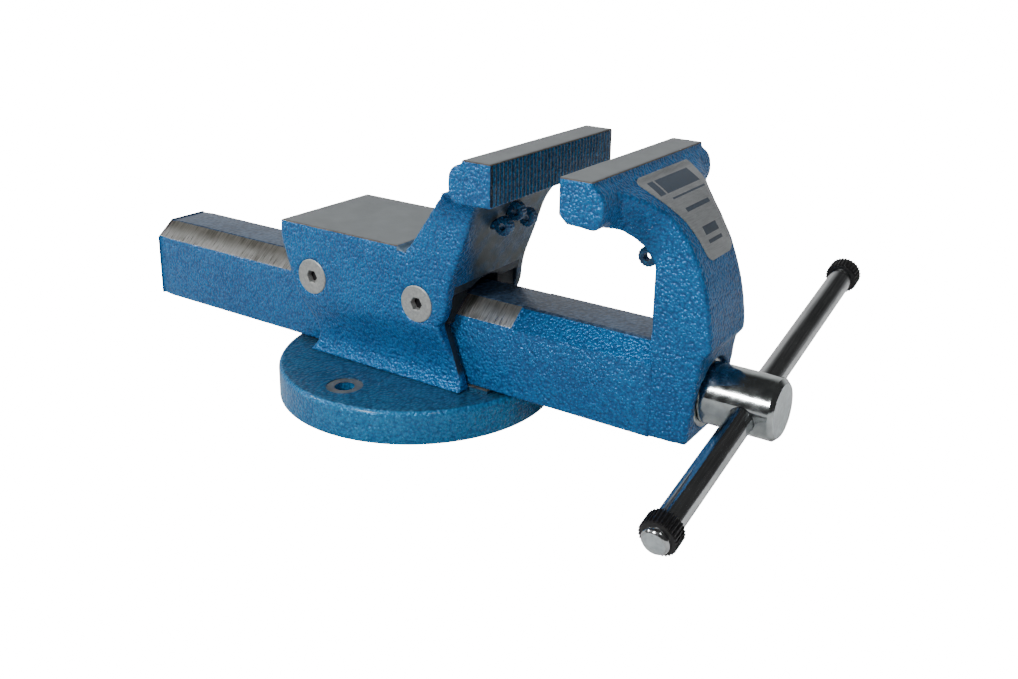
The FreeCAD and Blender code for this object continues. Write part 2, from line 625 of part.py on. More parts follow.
def moving_jaw():
    """Forged arm with the moving jaw, bored for the spindle."""
    face = MOVING_FACE
    front = arm_front_points()
    inner_low = (THROAT_X, BAR_BOTTOM)
    inner_bend = (THROAT_X, f"{JAW_TOP} - 62")
    under_jaw = (f"{THROAT_X} - 25", JAW_BOTTOM)
    step_top = (ARM_FRONT, f"{JAW_TOP} - 99.5")
    step_bottom = (f"{ARM_FRONT} - 5", f"{JAW_TOP} - 105.5")
    toe = (f"{ARM_FRONT} - 11", BAR_BOTTOM)
    arm = slab([
        front,
        [front[-1], step_top],
        [step_top, step_bottom],
        [step_bottom, toe],
        [toe, inner_low],
        [inner_low, inner_bend],
        [inner_bend, (f"{THROAT_X} - 1.2", f"{JAW_TOP} - 53"),
         (f"{THROAT_X} - 6", f"{JAW_TOP} - 44.7"), (f"{THROAT_X} - 12", f"{JAW_TOP} - 37"),
         (f"{THROAT_X} - 18", f"{JAW_TOP} - 30"), under_jaw],
        [under_jaw, front[0]],
    ], in_xz, number("jaw_width"))
    draft = -1 * number("arm_draft") / number("jaw_width / 2 - bar_width / 2")
    stations = flared([
        ((THROAT_X, f"{BAR_BOTTOM} - 5"), (ARM_FRONT, f"{BAR_BOTTOM} - 5"), 0, draft),
        ((THROAT_X, f"{JAW_TOP} - 120"), (ARM_FRONT, f"{JAW_TOP} - 120"), 0, draft),
        ((THROAT_X, f"{JAW_TOP} - 76"), (f"{ARM_FRONT} - 2.5", f"{JAW_TOP} - 80"), 0, draft),
        ((THROAT_X, f"{JAW_TOP} - 58"), (f"{face} + 66", f"{JAW_TOP} - 50"), 0, draft),
        ((f"{THROAT_X} - 4", f"{JAW_TOP} - 47.5"), (f"{face} + 52", f"{JAW_TOP} - 27.5"), 0, 0),
        ((f"{THROAT_X} - 7", f"{JAW_TOP} - 43.5"), (f"{face} + 47.4", f"{JAW_TOP} - 22.5"),
         0.05, 0.05),
        ((f"{THROAT_X} - 11.2", f"{JAW_TOP} - 38"), (f"{face} + 42.5", f"{JAW_TOP} - 18"),
         0.17, 0.17),
        ((f"{THROAT_X} - 13.8", f"{JAW_TOP} - 34.7"), (f"{face} + 38.5", f"{JAW_TOP} - 14.8"),
         0.28, 0.28),
        ((f"{THROAT_X} - 16", f"{JAW_TOP} - 32"), (f"{face} + 33.5", f"{JAW_TOP} - 11.5"),
         0.43, 0.43),
        ((f"{THROAT_X} - 18.6", f"{JAW_TOP} - 29.5"), (f"{face} + 25.6", f"{JAW_TOP} - 7.3"),
         0.66, 0.66),
        ((f"{THROAT_X} - 21.5", f"{JAW_TOP} - 27"), (f"{face} + 21", f"{JAW_TOP} - 4.5"),
         0.9, 0.9),
        ((f"{THROAT_X} - 25", f"{JAW_TOP} - 24.5"), (f"{face} + 15.5", f"{JAW_TOP} - 1.5"),
         1.24, 1.24),
    ], "bar_width / 2", "jaw_width / 2")
    for block in side_blocks(stations):
        arm = arm.cut(block)
    arm = arm.fuse(jaw_head(face, 1, "moving_belly_depth", "5"))
    bush = along_x(f"{THROAT_X} - 5", "0", SPINDLE_Z, "bush_diameter", "80")
    seat = along_x(SEAT_X, "0", SPINDLE_Z,
                   "thrust_washer_diameter + 2 * washer_seat_gap", "60")
    studs = stud_places(face, 1, front_stud_rows())
    arm = arm.cut([bush, seat] + [stud_hole(centre, 1) for centre in studs])
    return feature("moving_jaw", arm.removeSplitter())


def label_plate(arm):
    """Foil label that follows the front of the moving arm, under its jaw's edge."""
    curve = Part.BSplineCurve()
    curve.interpolate([in_xz(number(u), number(v)) for u, v in arm_front_points()])
    high = number(JAW_TOP) - 7.5
    low = number(JAW_TOP) - 49.0
    top = curve.parameter(point_at_height(curve, high))
    bottom = curve.parameter(point_at_height(curve, low))
    steps = 6
    outer = []
    for i in range(steps + 1):
        place = top + (bottom - top) * i / steps
        tangent = curve.tangent(place)[0]
        normal = Vector(-tangent.z, 0, tangent.x)
        if normal.x < 0:
            normal = normal * -1
        outer.append(curve.value(place) + normal * number("label_thickness"))
    skin = Part.BSplineCurve()
    skin.interpolate(outer)
    inner = curve.toShape(top, bottom)
    edges = [inner, Part.makeLine(curve.value(bottom), outer[-1]), skin.toShape(),
             Part.makeLine(outer[0], curve.value(top))]
    strip = spread(Part.Face(Part.Wire(Part.__sortEdges__(edges))), 120.0)
    half = [(29, high + 2), (35.5, high - 3), (34, high - 6.5), (22.5, high - 20),
            (19.5, high - 31), (17.5, low + 3), (13.5, low - 1)]
    offset = number("label_offset")
    right = [Vector(0, offset + y, z) for y, z in half]
    left = [Vector(0, offset - y, z) for y, z in reversed(half)]
    outline = Part.Face(Part.makePolygon(right + left + [right[0]]))
    window = outline.extrude(Vector(400, 0, 0))
    return feature("label_plate", strip.common(window).cut(arm.Shape))


def point_at_height(curve, height):
    """Point where a curve that keeps falling reaches a height."""
    low, high = curve.FirstParameter, curve.LastParameter
    for _ in range(60):
        middle = (low + high) / 2
        if curve.value(middle).z > height:
            low = middle
        else:
            high = middle
    return curve.value(low)


# ---------------------------------------------------------------- base

def base_plate():
    body = new_body("base_plate")
    disc = sketch_on(body, "XY_Plane", "base_disc")
    draw_circle(disc, "0", "0", "base_diameter")
    add_pad(body, disc, "base_thickness")
    top = number("base_thickness")
    round_edges(body, lambda edge: abs(edge.CenterOfMass.z - top) < 1e-6, "base_edge_round")
    pad = sketch_on(body, "XY_Plane", "slideway_pad", "base_thickness - 2")
    half = "pad_width / 2"
    draw_polygon(pad, [("pad_rear", f"-1 * {half}"), ("pad_front", f"-1 * {half}"),
                       ("pad_front", half), ("pad_rear", half)])
    add_pad(body, pad, "pad_height + 2")
    holes = sketch_on(body, "XY_Plane", "bolt_holes", "base_thickness")
    flats = sketch_on(body, "XY_Plane", "spot_faces", "base_thickness")
    for y in ("bolt_spacing / 2", "-1 * bolt_spacing / 2"):
        draw_circle(holes, "bolt_line_x", y, "bolt_hole_diameter")
        draw_circle(flats, "bolt_line_x", y, "spot_face_diameter")
    add_pocket(body, holes)
    add_pocket(body, flats, "spot_face_depth")
    bores = sketch_on(body, "XY_Plane", "nut_screw_bores", WAY_TOP)
    heads = sketch_on(body, "XY_Plane", "nut_screw_heads")
    for x in nut_screw_stations():
        draw_circle(bores, x, "0", "nut_screw_diameter + 1")
        draw_circle(heads, x, "0", "nut_screw_head_diameter + 1")
    add_pocket(body, bores)
    add_pocket(body, heads, "nut_screw_head_height + nut_screw_recess", reverse=True)
    return body


def nut_screw_stations():
    middle = "nut_rear + nut_length / 2"
    return (f"{middle} - nut_screw_spacing / 2", f"{middle} + nut_screw_spacing / 2")


# ---------------------------------------------------------------- guides and nut

def gib(label, way):
    """Hardened strip whose slanted face bears on the slide bar's chamfer."""
    body = new_body(label)
    section = sketch_on(body, "YZ_Plane", f"{label}_section",
                        "tunnel_mouth_rear + gib_inset")
    slope = "( bar_chamfer_height / ( bar_width / 2 - bar_flat_width / 2 ) )"

    def bearing(half):
        """Height of the bearing face at a distance from the centre plane."""
        return f"{BAR_SHOULDER} + slide_clearance * 1.3 - ( {half} - bar_width / 2 ) * {slope}"
    back = "gib_pocket_width / 2"
    corners = [
        (back, GIB_BOTTOM), (back, GIB_TOP), ("gib_inner_half", GIB_TOP),
        ("gib_inner_half", bearing("gib_inner_half")),
        (TUNNEL_HALF, bearing(TUNNEL_HALF)), (TUNNEL_HALF, GIB_BOTTOM),
    ]
    if way < 0:
        corners = [(f"-1 * {y}", z) for y, z in reversed(corners)]
    draw_polygon(section, corners)
    add_pad(body, section, "tunnel_mouth_front - tunnel_mouth_rear - 2 * gib_inset")
    holes = sketch_on(body, "XZ_Plane", f"{label}_screw_holes")
    for x in ("gib_screw_rear", "gib_screw_front"):
        draw_circle(holes, x, GIB_SCREW_Z, "gib_screw_shank")
    add_pocket(body, holes, reverse=way < 0)
    return body


def spindle_nut():
    body = new_body("spindle_nut")
    half = f"( {CAVITY_HALF} - nut_side_gap )"
    block = sketch_on(body, "YZ_Plane", "nut_block", "nut_rear")
    draw_polygon(block, [(f"-1 * {half}", WAY_TOP), (half, WAY_TOP),
                         (half, NUT_TOP), (f"-1 * {half}", NUT_TOP)])
    add_pad(body, block, "nut_length")
    thread = sketch_on(body, "YZ_Plane", "nut_thread", "nut_rear")
    draw_circle(thread, "0", SPINDLE_Z, "spindle_diameter + 2 * running_gap")
    add_pocket(body, thread, "nut_length", reverse=True)
    taps = sketch_on(body, "XY_Plane", "nut_screw_taps", WAY_TOP)
    for x in nut_screw_stations():
        draw_circle(taps, x, "0", "nut_screw_diameter")
    add_pocket(body, taps, "nut_screw_depth", reverse=True)
    return body


def compound(label, solids):
    """Identical pieces in one node, each a solid of its own."""
    return feature(label, Part.makeCompound(solids))


def gib_screws():
    solids = []
    socket_depth = 5.0
    across = number("gib_screw_hex")
    for side, station in gib_screw_places():
        screw = countersunk(side, station, 0.0, number("gib_screw_length"))
        start = Vector(station, side * number(BODY_SIDE), number(GIB_SCREW_Z))
        corner = across / math.sqrt(3)
        points = [
            start + Vector(corner * math.cos(math.radians(60 * i)), 0,
                           corner * math.sin(math.radians(60 * i)))
            for i in range(7)
        ]
        socket = Part.Face(Part.makePolygon(points)).extrude(Vector(0, -side * socket_depth, 0))
        solids.append(screw.cut(socket))
    return compound("gib_screws", solids)


def nut_screws():
    solids = []
    recess = number("nut_screw_recess")
    head = number("nut_screw_head_height")
    shank_top = number(f"{WAY_TOP} + nut_screw_depth")
    for x in nut_screw_stations():
        start = Vector(number(x), 0, recess)
        up = Vector(0, 0, 1)
        screw = cylinder(start, up, number("nut_screw_head_diameter") / 2, head)
        screw = screw.fuse(cylinder(start, up, number("nut_screw_diameter") / 2,
                                    shank_top - recess))
        socket = cylinder(start, up, number("nut_screw_diameter") * 0.4, head / 2)
        solids.append(screw.cut(socket))
    return compound("nut_screws", solids)


# ---------------------------------------------------------------- slide, spindle, handle

def slide_bar():
    """Chamfered bar, hollow and open underneath for the spindle and its nut."""
    body = new_body("slide_bar_section")
    section = sketch_on(body, "YZ_Plane", "bar_section", "bar_rear")
    half = "bar_width / 2"
    flat = "bar_flat_width / 2"
    ceiling = f"{BAR_TOP} - bar_roof"
    right = [
        (CAVITY_HALF, BAR_BOTTOM), (half, BAR_BOTTOM), (half, BAR_SHOULDER), (flat, BAR_TOP),
    ]
    left = [(f"-1 * {y}", z) for y, z in reversed(right)]
    draw_polygon(section, right + left + [
        (f"-1 * {CAVITY_HALF}", ceiling), (CAVITY_HALF, ceiling)])
    add_pad(body, section, f"{THROAT_X} - bar_rear")
    return feature("slide_bar", body.Shape.cut([nut_room(), collar_room()]))


def nut_room():
    """Passage that the nut needs along the slide bar."""
    half = number(f"{CAVITY_HALF} - nut_side_gap")
    low = number(f"{BAR_BOTTOM} - 1")
    return Part.makeBox(number(f"{COLLAR_REAR} - bar_rear + 1"), 2 * half,
                        number(f"{NUT_TOP} + nut_roof_gap") - low,
                        Vector(number("bar_rear - 1"), -half, low))


def collar_room():
    """Bore that the collar and its washer need inside the slide bar."""
    return along_x(f"{COLLAR_REAR} - 1", "0", SPINDLE_Z, "collar_diameter + 2 * collar_side_gap",
                   f"{THROAT_X} - {COLLAR_REAR} + 1")


def spindle():
    """Screw spindle with its journal and cross-bored head."""
    body = new_body("spindle")
    profile = sketch_on(body, "XZ_Plane", "spindle_profile")
    shoulder = f"{THROAT_X} - face_gap - inner_washer_thickness"
    thread = "spindle_diameter / 2"
    head = "spindle_head_diameter / 2"
    draw_polygon(profile, [
        ("spindle_rear", "0"), (HEAD_FRONT, "0"),
        (HEAD_FRONT, f"{head} - spindle_head_chamfer"),
        (f"{HEAD_FRONT} - spindle_head_chamfer", head), (HEAD_REAR, head),
        (HEAD_REAR, "journal_diameter / 2"), (shoulder, "journal_diameter / 2"),
        (shoulder, thread), ("spindle_rear + 2", thread), ("spindle_rear", f"{thread} - 2"),
    ])
    add_revolution(body, profile)
    hole = sketch_on(body, "XZ_Plane", "handle_hole")
    draw_circle(hole, HANDLE_X, "0", "handle_diameter + 2 * running_gap")
    add_pocket(body, hole, midplane=True)
    pin = sketch_on(body, "XZ_Plane", "collar_pin_hole")
    draw_circle(pin, COLLAR_MIDDLE, "0", "collar_pin_diameter")
    add_pocket(body, pin, midplane=True)
    return turned_with_handle(body)


def turned_with_handle(body, x="0"):
    """Raise a body to the spindle axis and turn it to the handle's angle."""
    body.Placement = Placement(Vector(0, 0, 0), Rotation(Vector(1, 0, 0), number("handle_angle")))
    body.setExpression(".Placement.Rotation.Angle", cell("handle_angle"))
    return at(body, x=x, z=SPINDLE_Z)


def retaining_collar():
    body = new_body("retaining_collar")
    section = sketch_on(body, "XZ_Plane", "collar_section")
    draw_polygon(section, [
        (COLLAR_REAR, "spindle_diameter / 2"), (COLLAR_FRONT, "spindle_diameter / 2"),
        (COLLAR_FRONT, "collar_diameter / 2"), (COLLAR_REAR, "collar_diameter / 2"),
    ])
    add_revolution(body, section)
    pin = sketch_on(body, "XZ_Plane", "collar_cross_hole")
    draw_circle(pin, COLLAR_MIDDLE, "0", "collar_pin_diameter")
    add_pocket(body, pin, midplane=True)
    return turned_with_handle(body)


def collar_pin():
    body = new_body("collar_pin")
    circle = sketch_on(body, "XZ_Plane", "pin_circle")
    draw_circle(circle, COLLAR_MIDDLE, "0", "collar_pin_diameter")
    add_pad(body, circle, "collar_diameter - 1", midplane=True)
    return turned_with_handle(body)


def handle_bar():
    body = new_body("handle_bar")
    circle = sketch_on(body, "XZ_Plane", "handle_circle", "-1 * handle_shift")
    draw_circle(circle, HANDLE_X, "0", "handle_diameter")
    add_pad(body, circle, "handle_length", midplane=True)
    bevel_ends(body, "handle_chamfer")
    return turned_with_handle(body)


def handle_grip(label, way):
    """Rubber ring near one end of the handle bar."""
    body = new_body(label)
    outer_end = f"handle_shift + ( {way} ) * ( handle_length / 2 - grip_setback )"
    middle = f"handle_shift + ( {way} ) * ( handle_length / 2 - grip_setback - grip_length / 2 )"
    circle = sketch_on(body, "XZ_Plane", f"{label}_ring", f"-1 * ( {middle} )")
    draw_circle(circle, HANDLE_X, "0", "grip_diameter")
    add_pad(body, circle, "grip_length", midplane=True)
    bevel_ends(body, "grip_chamfer")
    bore = sketch_on(body, "XZ_Plane", f"{label}_bore")
    draw_circle(bore, HANDLE_X, "0", "handle_diameter")
    add_pocket(body, bore, midplane=True)
    return turned_with_handle(body)


def build():
    """Every piece of the vise, in the order it goes together."""
    pieces = [base_plate(), fixed_jaw(), gib("gib_left", 1), gib("gib_right", -1),
              gib_screws(), spindle_nut(), nut_screws()]
    rear = stud_places("jaw_face_x", -1, rear_stud_rows())
    front = stud_places(MOVING_FACE, 1, front_stud_rows())
    pieces.append(compound("rear_pipe_studs", [stud(centre, -1) for centre in rear]))
    pieces.append(compound("front_pipe_studs", [stud(centre, 1) for centre in front]))
    arm = moving_jaw()
    pieces += [slide_bar(), arm, label_plate(arm)]
    pieces.append(ring("spindle_bush", "bush_diameter", "( journal_diameter + 2 * running_gap )",
                       THROAT_X, SEAT_X))
    pieces.append(ring("thrust_washer", "thrust_washer_diameter",
                       "( journal_diameter + 2 * running_gap )", SEAT_X,
                       f"{SEAT_X} + thrust_washer_thickness"))
    pieces.append(ring("inner_washer", "inner_washer_diameter",
                       "( journal_diameter + 2 * running_gap )",
                       f"{THROAT_X} - inner_washer_thickness", THROAT_X))
    pieces += [spindle(), retaining_collar(), collar_pin(), handle_bar(),
               handle_grip("handle_grip_near", -1), handle_grip("handle_grip_far", 1)]
    return pieces


def check(pieces):
    """Stop if any object failed or any piece has no valid solid."""
    for item in doc.Objects:
        if "Invalid" in item.State or "Error" in item.State:
            raise RuntimeError(f"{item.Label}: {item.State}")
    for piece in pieces:
        shape = piece.Shape
        if shape.isNull() or not shape.isValid() or not shape.Solids:
            raise RuntimeError(f"{piece.Label}: no valid solid")


def export(pieces):
    os.makedirs("parts", exist_ok=True)
    for piece in pieces:
        piece.Shape.exportStep(os.path.join("parts", f"{piece.Label}.step"))
        print(f"{piece.Label}: {len(piece.Shape.Solids)} solid(s), "
              f"{piece.Shape.Volume / 1000:.1f} cm3")


pieces = build()
doc.recompute()
check(pieces)
export(pieces)
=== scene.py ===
"""Looks of a forged bench vise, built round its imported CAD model.

Lengths are metres in the part's own frame: the origin is the centre of the round
base's underside, +X runs towards the moving jaw, Y along the jaws and +Z up.
"""

import logging
import math
from dataclasses import dataclass, field
from enum import Enum
from typing import Callable, Optional, Sequence

import bmesh
import bpy
import numpy as np
from mathutils import Matrix, Vector
from mathutils.bvhtree import BVHTree

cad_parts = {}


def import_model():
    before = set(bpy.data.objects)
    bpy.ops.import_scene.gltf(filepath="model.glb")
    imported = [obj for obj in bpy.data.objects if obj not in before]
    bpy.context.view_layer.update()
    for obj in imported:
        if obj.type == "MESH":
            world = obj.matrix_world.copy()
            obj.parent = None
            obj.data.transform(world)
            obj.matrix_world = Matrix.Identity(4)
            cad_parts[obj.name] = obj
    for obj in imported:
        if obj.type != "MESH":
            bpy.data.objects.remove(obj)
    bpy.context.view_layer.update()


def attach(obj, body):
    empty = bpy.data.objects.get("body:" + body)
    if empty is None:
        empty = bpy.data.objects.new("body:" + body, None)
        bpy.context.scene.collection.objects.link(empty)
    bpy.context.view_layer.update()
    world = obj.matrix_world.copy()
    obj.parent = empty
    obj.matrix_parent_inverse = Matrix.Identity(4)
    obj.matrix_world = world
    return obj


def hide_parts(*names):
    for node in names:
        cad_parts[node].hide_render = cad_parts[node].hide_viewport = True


MM = 0.001
Point = tuple[float, float, float]
Loop = list[Point]

logging.basicConfig(level=logging.INFO, format="%(name)s: %(message)s")
log = logging.getLogger("vise")


class Body(Enum):
    """CAD body that a piece moves with."""

    FIXED = "fixed"
    MOVING = "moving"
    SPINDLE = "spindle"
    HANDLE = "handle"


class Slot(Enum):
    """Material slot of the part's record."""

    PAINT = "blue_paint"
    STEEL = "machined_steel"
    BLACK = "black_steel"
    PLATED = "plated_steel"
    BRONZE = "bronze"
    RUBBER = "rubber"
    FOIL = "label_foil"


# ---------------------------------------------------------------- node trees


def add_node(tree: bpy.types.NodeTree, kind: str, settings: Optional[dict] = None,
             links: Optional[dict] = None) -> bpy.types.Node:
    """Add one node to a tree.

    Args:
        tree: Shader or geometry node tree.
        kind: Blender's identifier of the node.
        settings: Attributes to set on the node.
        links: For each input, by name or index, an output to link or a constant.

    Returns:
        The new node.
    """
    node = tree.nodes.new(kind)
    for key, value in (settings or {}).items():
        setattr(node, key, value)
    for key, value in (links or {}).items():
        if isinstance(value, bpy.types.NodeSocket):
            tree.links.new(value, node.inputs[key])
        else:
            node.inputs[key].default_value = value
    return node


def linear(colour: str) -> tuple[float, float, float, float]:
    """Linear colour of an sRGB hex value such as "#2a6fa8".

    Args:
        colour: Six hex digits after a hash sign.

    Returns:
        Red, green, blue and a full alpha.
    """
    values = [int(colour[i:i + 2], 16) / 255 for i in (1, 3, 5)]
    return (*[v / 12.92 if v <= 0.04045 else ((v + 0.055) / 1.055) ** 2.4 for v in values], 1.0)


def per_metre(size_mm: float) -> float:
    """Texture scale whose features are size_mm across."""
    return 1000.0 / size_mm


@dataclass(frozen=True)
class Shade:
    """Colour, metalness, roughness and relief of one finish inside a material.

    Each value is a constant or the output of a node. Relief is a height in metres.
    """

    colour: object
    metallic: object
    roughness: object
    relief: object = 0.0


class Surface:
    """Material whose finish may change from one zone of a piece to another."""

    def __init__(self, name: str) -> None:
        """Start an empty node tree that reads object coordinates."""
        self.material = bpy.data.materials.new(name)
        self.material.use_nodes = True
        self.tree = self.material.node_tree
        self.tree.nodes.clear()
        self.place = add_node(self.tree, "ShaderNodeTexCoord").outputs["Object"]
        split = add_node(self.tree, "ShaderNodeSeparateXYZ", None, {0: self.place})
        self.x, self.y, self.z = split.outputs[:3]

    def inside(self, value: bpy.types.NodeSocket, low: float, high: float,
               soft: float = 0.0003) -> bpy.types.NodeSocket:
        """Mask that is 1 where a value lies between two bounds.

        Args:
            value: Output to test, in metres.
            low: Lower bound.
            high: Upper bound.
            soft: Width of the change at each bound.

        Returns:
            The mask's output.
        """
        rise = add_node(self.tree, "ShaderNodeMapRange", {"interpolation_type": "SMOOTHSTEP"},
                        {"Value": value, "From Min": low - soft, "From Max": low + soft})
        fall = add_node(self.tree, "ShaderNodeMapRange", {"interpolation_type": "SMOOTHSTEP"},
                        {"Value": value, "From Min": high - soft, "From Max": high + soft,
                         "To Min": 1.0, "To Max": 0.0})
        return self.both(rise.outputs[0], fall.outputs[0])

    def both(self, *masks: bpy.types.NodeSocket) -> bpy.types.NodeSocket:
        """Product of masks."""
        total = masks[0]
        for mask in masks[1:]:
            total = add_node(self.tree, "ShaderNodeMath", {"operation": "MULTIPLY"},
                             {0: total, 1: mask}).outputs[0]
        return total

    def either(self, *masks: bpy.types.NodeSocket) -> bpy.types.NodeSocket:
        """Largest of masks."""
        total = masks[0]
        for mask in masks[1:]:
            total = add_node(self.tree, "ShaderNodeMath", {"operation": "MAXIMUM"},
                             {0: total, 1: mask}).outputs[0]
        return total

    def noise(self, size_mm: float, detail: float = 2.0, stretch: Point = (1, 1, 1),
              distortion: float = 0.0) -> bpy.types.NodeSocket:
        """Noise, 0 to 1, on object coordinates.

        Args:
            size_mm: Size of its features.
            detail: Octaves.
            stretch: Factor on each coordinate; below 1 draws the features out.
            distortion: How much they swirl.

        Returns:
            The factor's output.
        """
        turned = add_node(self.tree, "ShaderNodeMapping", None,
                          {"Vector": self.place, "Scale": stretch})
        made = add_node(self.tree, "ShaderNodeTexNoise", None,
                        {"Vector": turned.outputs[0], "Scale": per_metre(size_mm),
                         "Detail": detail, "Distortion": distortion})
        return made.outputs[0]

    def ramp(self, value: bpy.types.NodeSocket,
             stops: Sequence[tuple[float, str]]) -> bpy.types.NodeSocket:
        """Colour ramp through sRGB stops.

        Args:
            value: Position in the ramp.
            stops: Positions and their colours.

        Returns:
            The colour's output.
        """
        node = add_node(self.tree, "ShaderNodeValToRGB", None, {0: value})
        elements = node.color_ramp.elements
        while len(elements) < len(stops):
            elements.new(0.5)
        for element, (position, colour) in zip(elements, stops):
            element.position = position
            element.color = linear(colour)
        return node.outputs[0]

    def levels(self, value: bpy.types.NodeSocket, low: float,
               high: float) -> bpy.types.NodeSocket:
        """Value brought from 0.3..0.7, where noise lies, to low..high."""
        node = add_node(self.tree, "ShaderNodeMapRange", None,
                        {"Value": value, "From Min": 0.3, "From Max": 0.7,
                         "To Min": low, "To Max": high})
        return node.outputs[0]

    def over(self, mask: bpy.types.NodeSocket, top: Shade, below: Shade) -> Shade:
        """One finish laid over another where the mask is 1."""
        mixed = []
        for first, second in ((below.metallic, top.metallic), (below.roughness, top.roughness),
                              (below.relief, top.relief)):
            node = add_node(self.tree, "ShaderNodeMix", {"data_type": "FLOAT"},
                            {0: mask, 2: first, 3: second})
            mixed.append(node.outputs[0])
        colour = add_node(self.tree, "ShaderNodeMix", {"data_type": "RGBA"},
                          {0: mask, 6: below.colour, 7: top.colour})
        return Shade(colour.outputs[2], *mixed)

    def finish(self, shade: Shade, coat: float = 0.0,
               coat_roughness: float = 0.1) -> bpy.types.Material:
        """Close the tree with one principled shader.

        Args:
            shade: What the surface shows.
            coat: Weight of a clear gloss layer.
            coat_roughness: Roughness of that layer.

        Returns:
            The finished material.
        """
        links = {"Base Color": shade.colour, "Metallic": shade.metallic,
                 "Roughness": shade.roughness, "Coat Weight": coat,
                 "Coat Roughness": coat_roughness}
        if isinstance(shade.relief, bpy.types.NodeSocket):
            bump = add_node(self.tree, "ShaderNodeBump", None,
                            {"Height": shade.relief, "Distance": 1.0, "Strength": 1.0})
            links["Normal"] = bump.outputs[0]
        shader = add_node(self.tree, "ShaderNodeBsdfPrincipled", None, links)
        add_node(self.tree, "ShaderNodeOutputMaterial", None, {0: shader.outputs[0]})
        return self.material


# ---------------------------------------------------------------- finishes


@dataclass(frozen=True)
class HammertoneEnamel:
    """Stoved hammertone enamel on rough forged steel: a leathery grain of small
    pits in a glossy film, with a fine aluminium flake that sparkles on edges."""

    deep: str = "#064d83"
    middle: str = "#075c96"
    light: str = "#0a68a3"
    grain_mm: float = 1.8
    height_mm: float = 0.34

    def shade(self, surface: Surface) -> Shade:
        """Paint as it lies on a surface."""
        cells = add_node(surface.tree, "ShaderNodeTexVoronoi", {"feature": "SMOOTH_F1"},
                         {"Vector": surface.place, "Scale": per_metre(self.grain_mm),
                          "Smoothness": 0.3}).outputs["Distance"]
        swirl = surface.noise(self.grain_mm * 2.2, 2.0, distortion=0.4)
        broad = surface.noise(38.0, 2.0)
        height = add_node(surface.tree, "ShaderNodeMath", {"operation": "MULTIPLY_ADD"},
                          {0: cells, 1: -1.3, 2: swirl}).outputs[0]
        tone = add_node(surface.tree, "ShaderNodeMath", {"operation": "MULTIPLY_ADD"},
                        {0: broad, 1: 0.9, 2: height}).outputs[0]
        colour = surface.ramp(tone, [(0.0, self.deep), (0.3, self.middle), (0.8, self.light)])
        relief = add_node(surface.tree, "ShaderNodeMath", {"operation": "MULTIPLY"},
                          {0: height, 1: self.height_mm * MM * 2}).outputs[0]
        return Shade(colour, 0.4, 0.4, relief)


@dataclass(frozen=True)
class GroundSteel:
    """Surface-ground carbon steel: matte, even grey with faint straight scratches."""

    dark: str = "#63686b"
    light: str = "#7d8386"
    scratch_mm: float = 0.5
    stretch: Point = (0.05, 1.0, 1.0)

    def shade(self, surface: Surface) -> Shade:
        """Bare ground metal on a surface."""
        scratches = surface.noise(self.scratch_mm, 3.0, self.stretch)
        patches = surface.noise(18.0, 3.0)
        both = add_node(surface.tree, "ShaderNodeMath", {"operation": "MULTIPLY_ADD"},
                        {0: patches, 1: 0.5, 2: scratches}).outputs[0]
        colour = surface.ramp(both, [(0.45, self.dark), (1.05, self.light)])
        rough = surface.levels(scratches, 0.48, 0.62)
        relief = add_node(surface.tree, "ShaderNodeMath", {"operation": "MULTIPLY"},
                          {0: scratches, 1: 0.02 * MM}).outputs[0]
        return Shade(colour, 0.55, rough, relief)


@dataclass(frozen=True)
class MachinedSteel:
    """Milled or turned mild steel: a streaky sheen that follows the tool's strokes."""

    dark: str = "#6d6e6c"
    light: str = "#d3d5d4"
    stroke_mm: float = 1.1
    stretch: Point = (1.0, 0.12, 0.12)
    metallic: float = 0.95
    rough: tuple[float, float] = (0.2, 0.36)

    def shade(self, surface: Surface) -> Shade:
        """Bare machined metal on a surface."""
        strokes = surface.noise(self.stroke_mm, 3.0, self.stretch)
        stains = surface.noise(24.0, 4.0, distortion=0.4)
        both = add_node(surface.tree, "ShaderNodeMath", {"operation": "MULTIPLY_ADD"},
                        {0: stains, 1: 0.7, 2: strokes}).outputs[0]
        colour = surface.ramp(both, [(0.5, self.dark), (1.15, self.light)])
        relief = add_node(surface.tree, "ShaderNodeMath", {"operation": "MULTIPLY"},
                          {0: strokes, 1: 0.03 * MM}).outputs[0]
        return Shade(colour, self.metallic, surface.levels(strokes, *self.rough), relief)


@dataclass(frozen=True)
class Plain:
    """Even finish with a fine mottle, such as oxide, bronze, rubber or plating."""

    dark: str
    light: str
    metallic: float
    rough: tuple[float, float]
    mottle_mm: float = 3.0
    relief_mm: float = 0.01

    def shade(self, surface: Surface) -> Shade:
        """The finish on a surface."""
        mottle = surface.noise(self.mottle_mm, 3.0)
        colour = surface.ramp(mottle, [(0.3, self.dark), (0.7, self.light)])
        relief = add_node(surface.tree, "ShaderNodeMath", {"operation": "MULTIPLY"},
                          {0: mottle, 1: self.relief_mm * MM}).outputs[0]
        return Shade(colour, self.metallic, surface.levels(mottle, *self.rough), relief)


# Bright zinc or chrome plate, polished before plating: near mirror, faint swirls.
CHROME = Plain("#a9afb0", "#c6cccc", 1.0, (0.1, 0.19), 5.0, 0.006)
# Matte zinc phosphate on the countersunk screws: light grey, hardly any sheen.
MATTE_ZINC = Plain("#8f9291", "#a9aba9", 0.6, (0.42, 0.55), 1.5)
# Black oxide on hardened steel: near black with a dull oily sheen.
BLACK_OXIDE = Plain("#17181a", "#2a2b2d", 0.6, (0.38, 0.52), 2.0)
# Cast tin bronze, turned: warm yellow-brown with soft gloss.
TIN_BRONZE = Plain("#8a6a34", "#b08b4c", 1.0, (0.28, 0.4), 2.5)
# Moulded nitrile rubber: black, dull, slightly dusty on its high spots.
NITRILE = Plain("#0b0b0c", "#161617", 0.0, (0.32, 0.42), 0.8, 0.02)
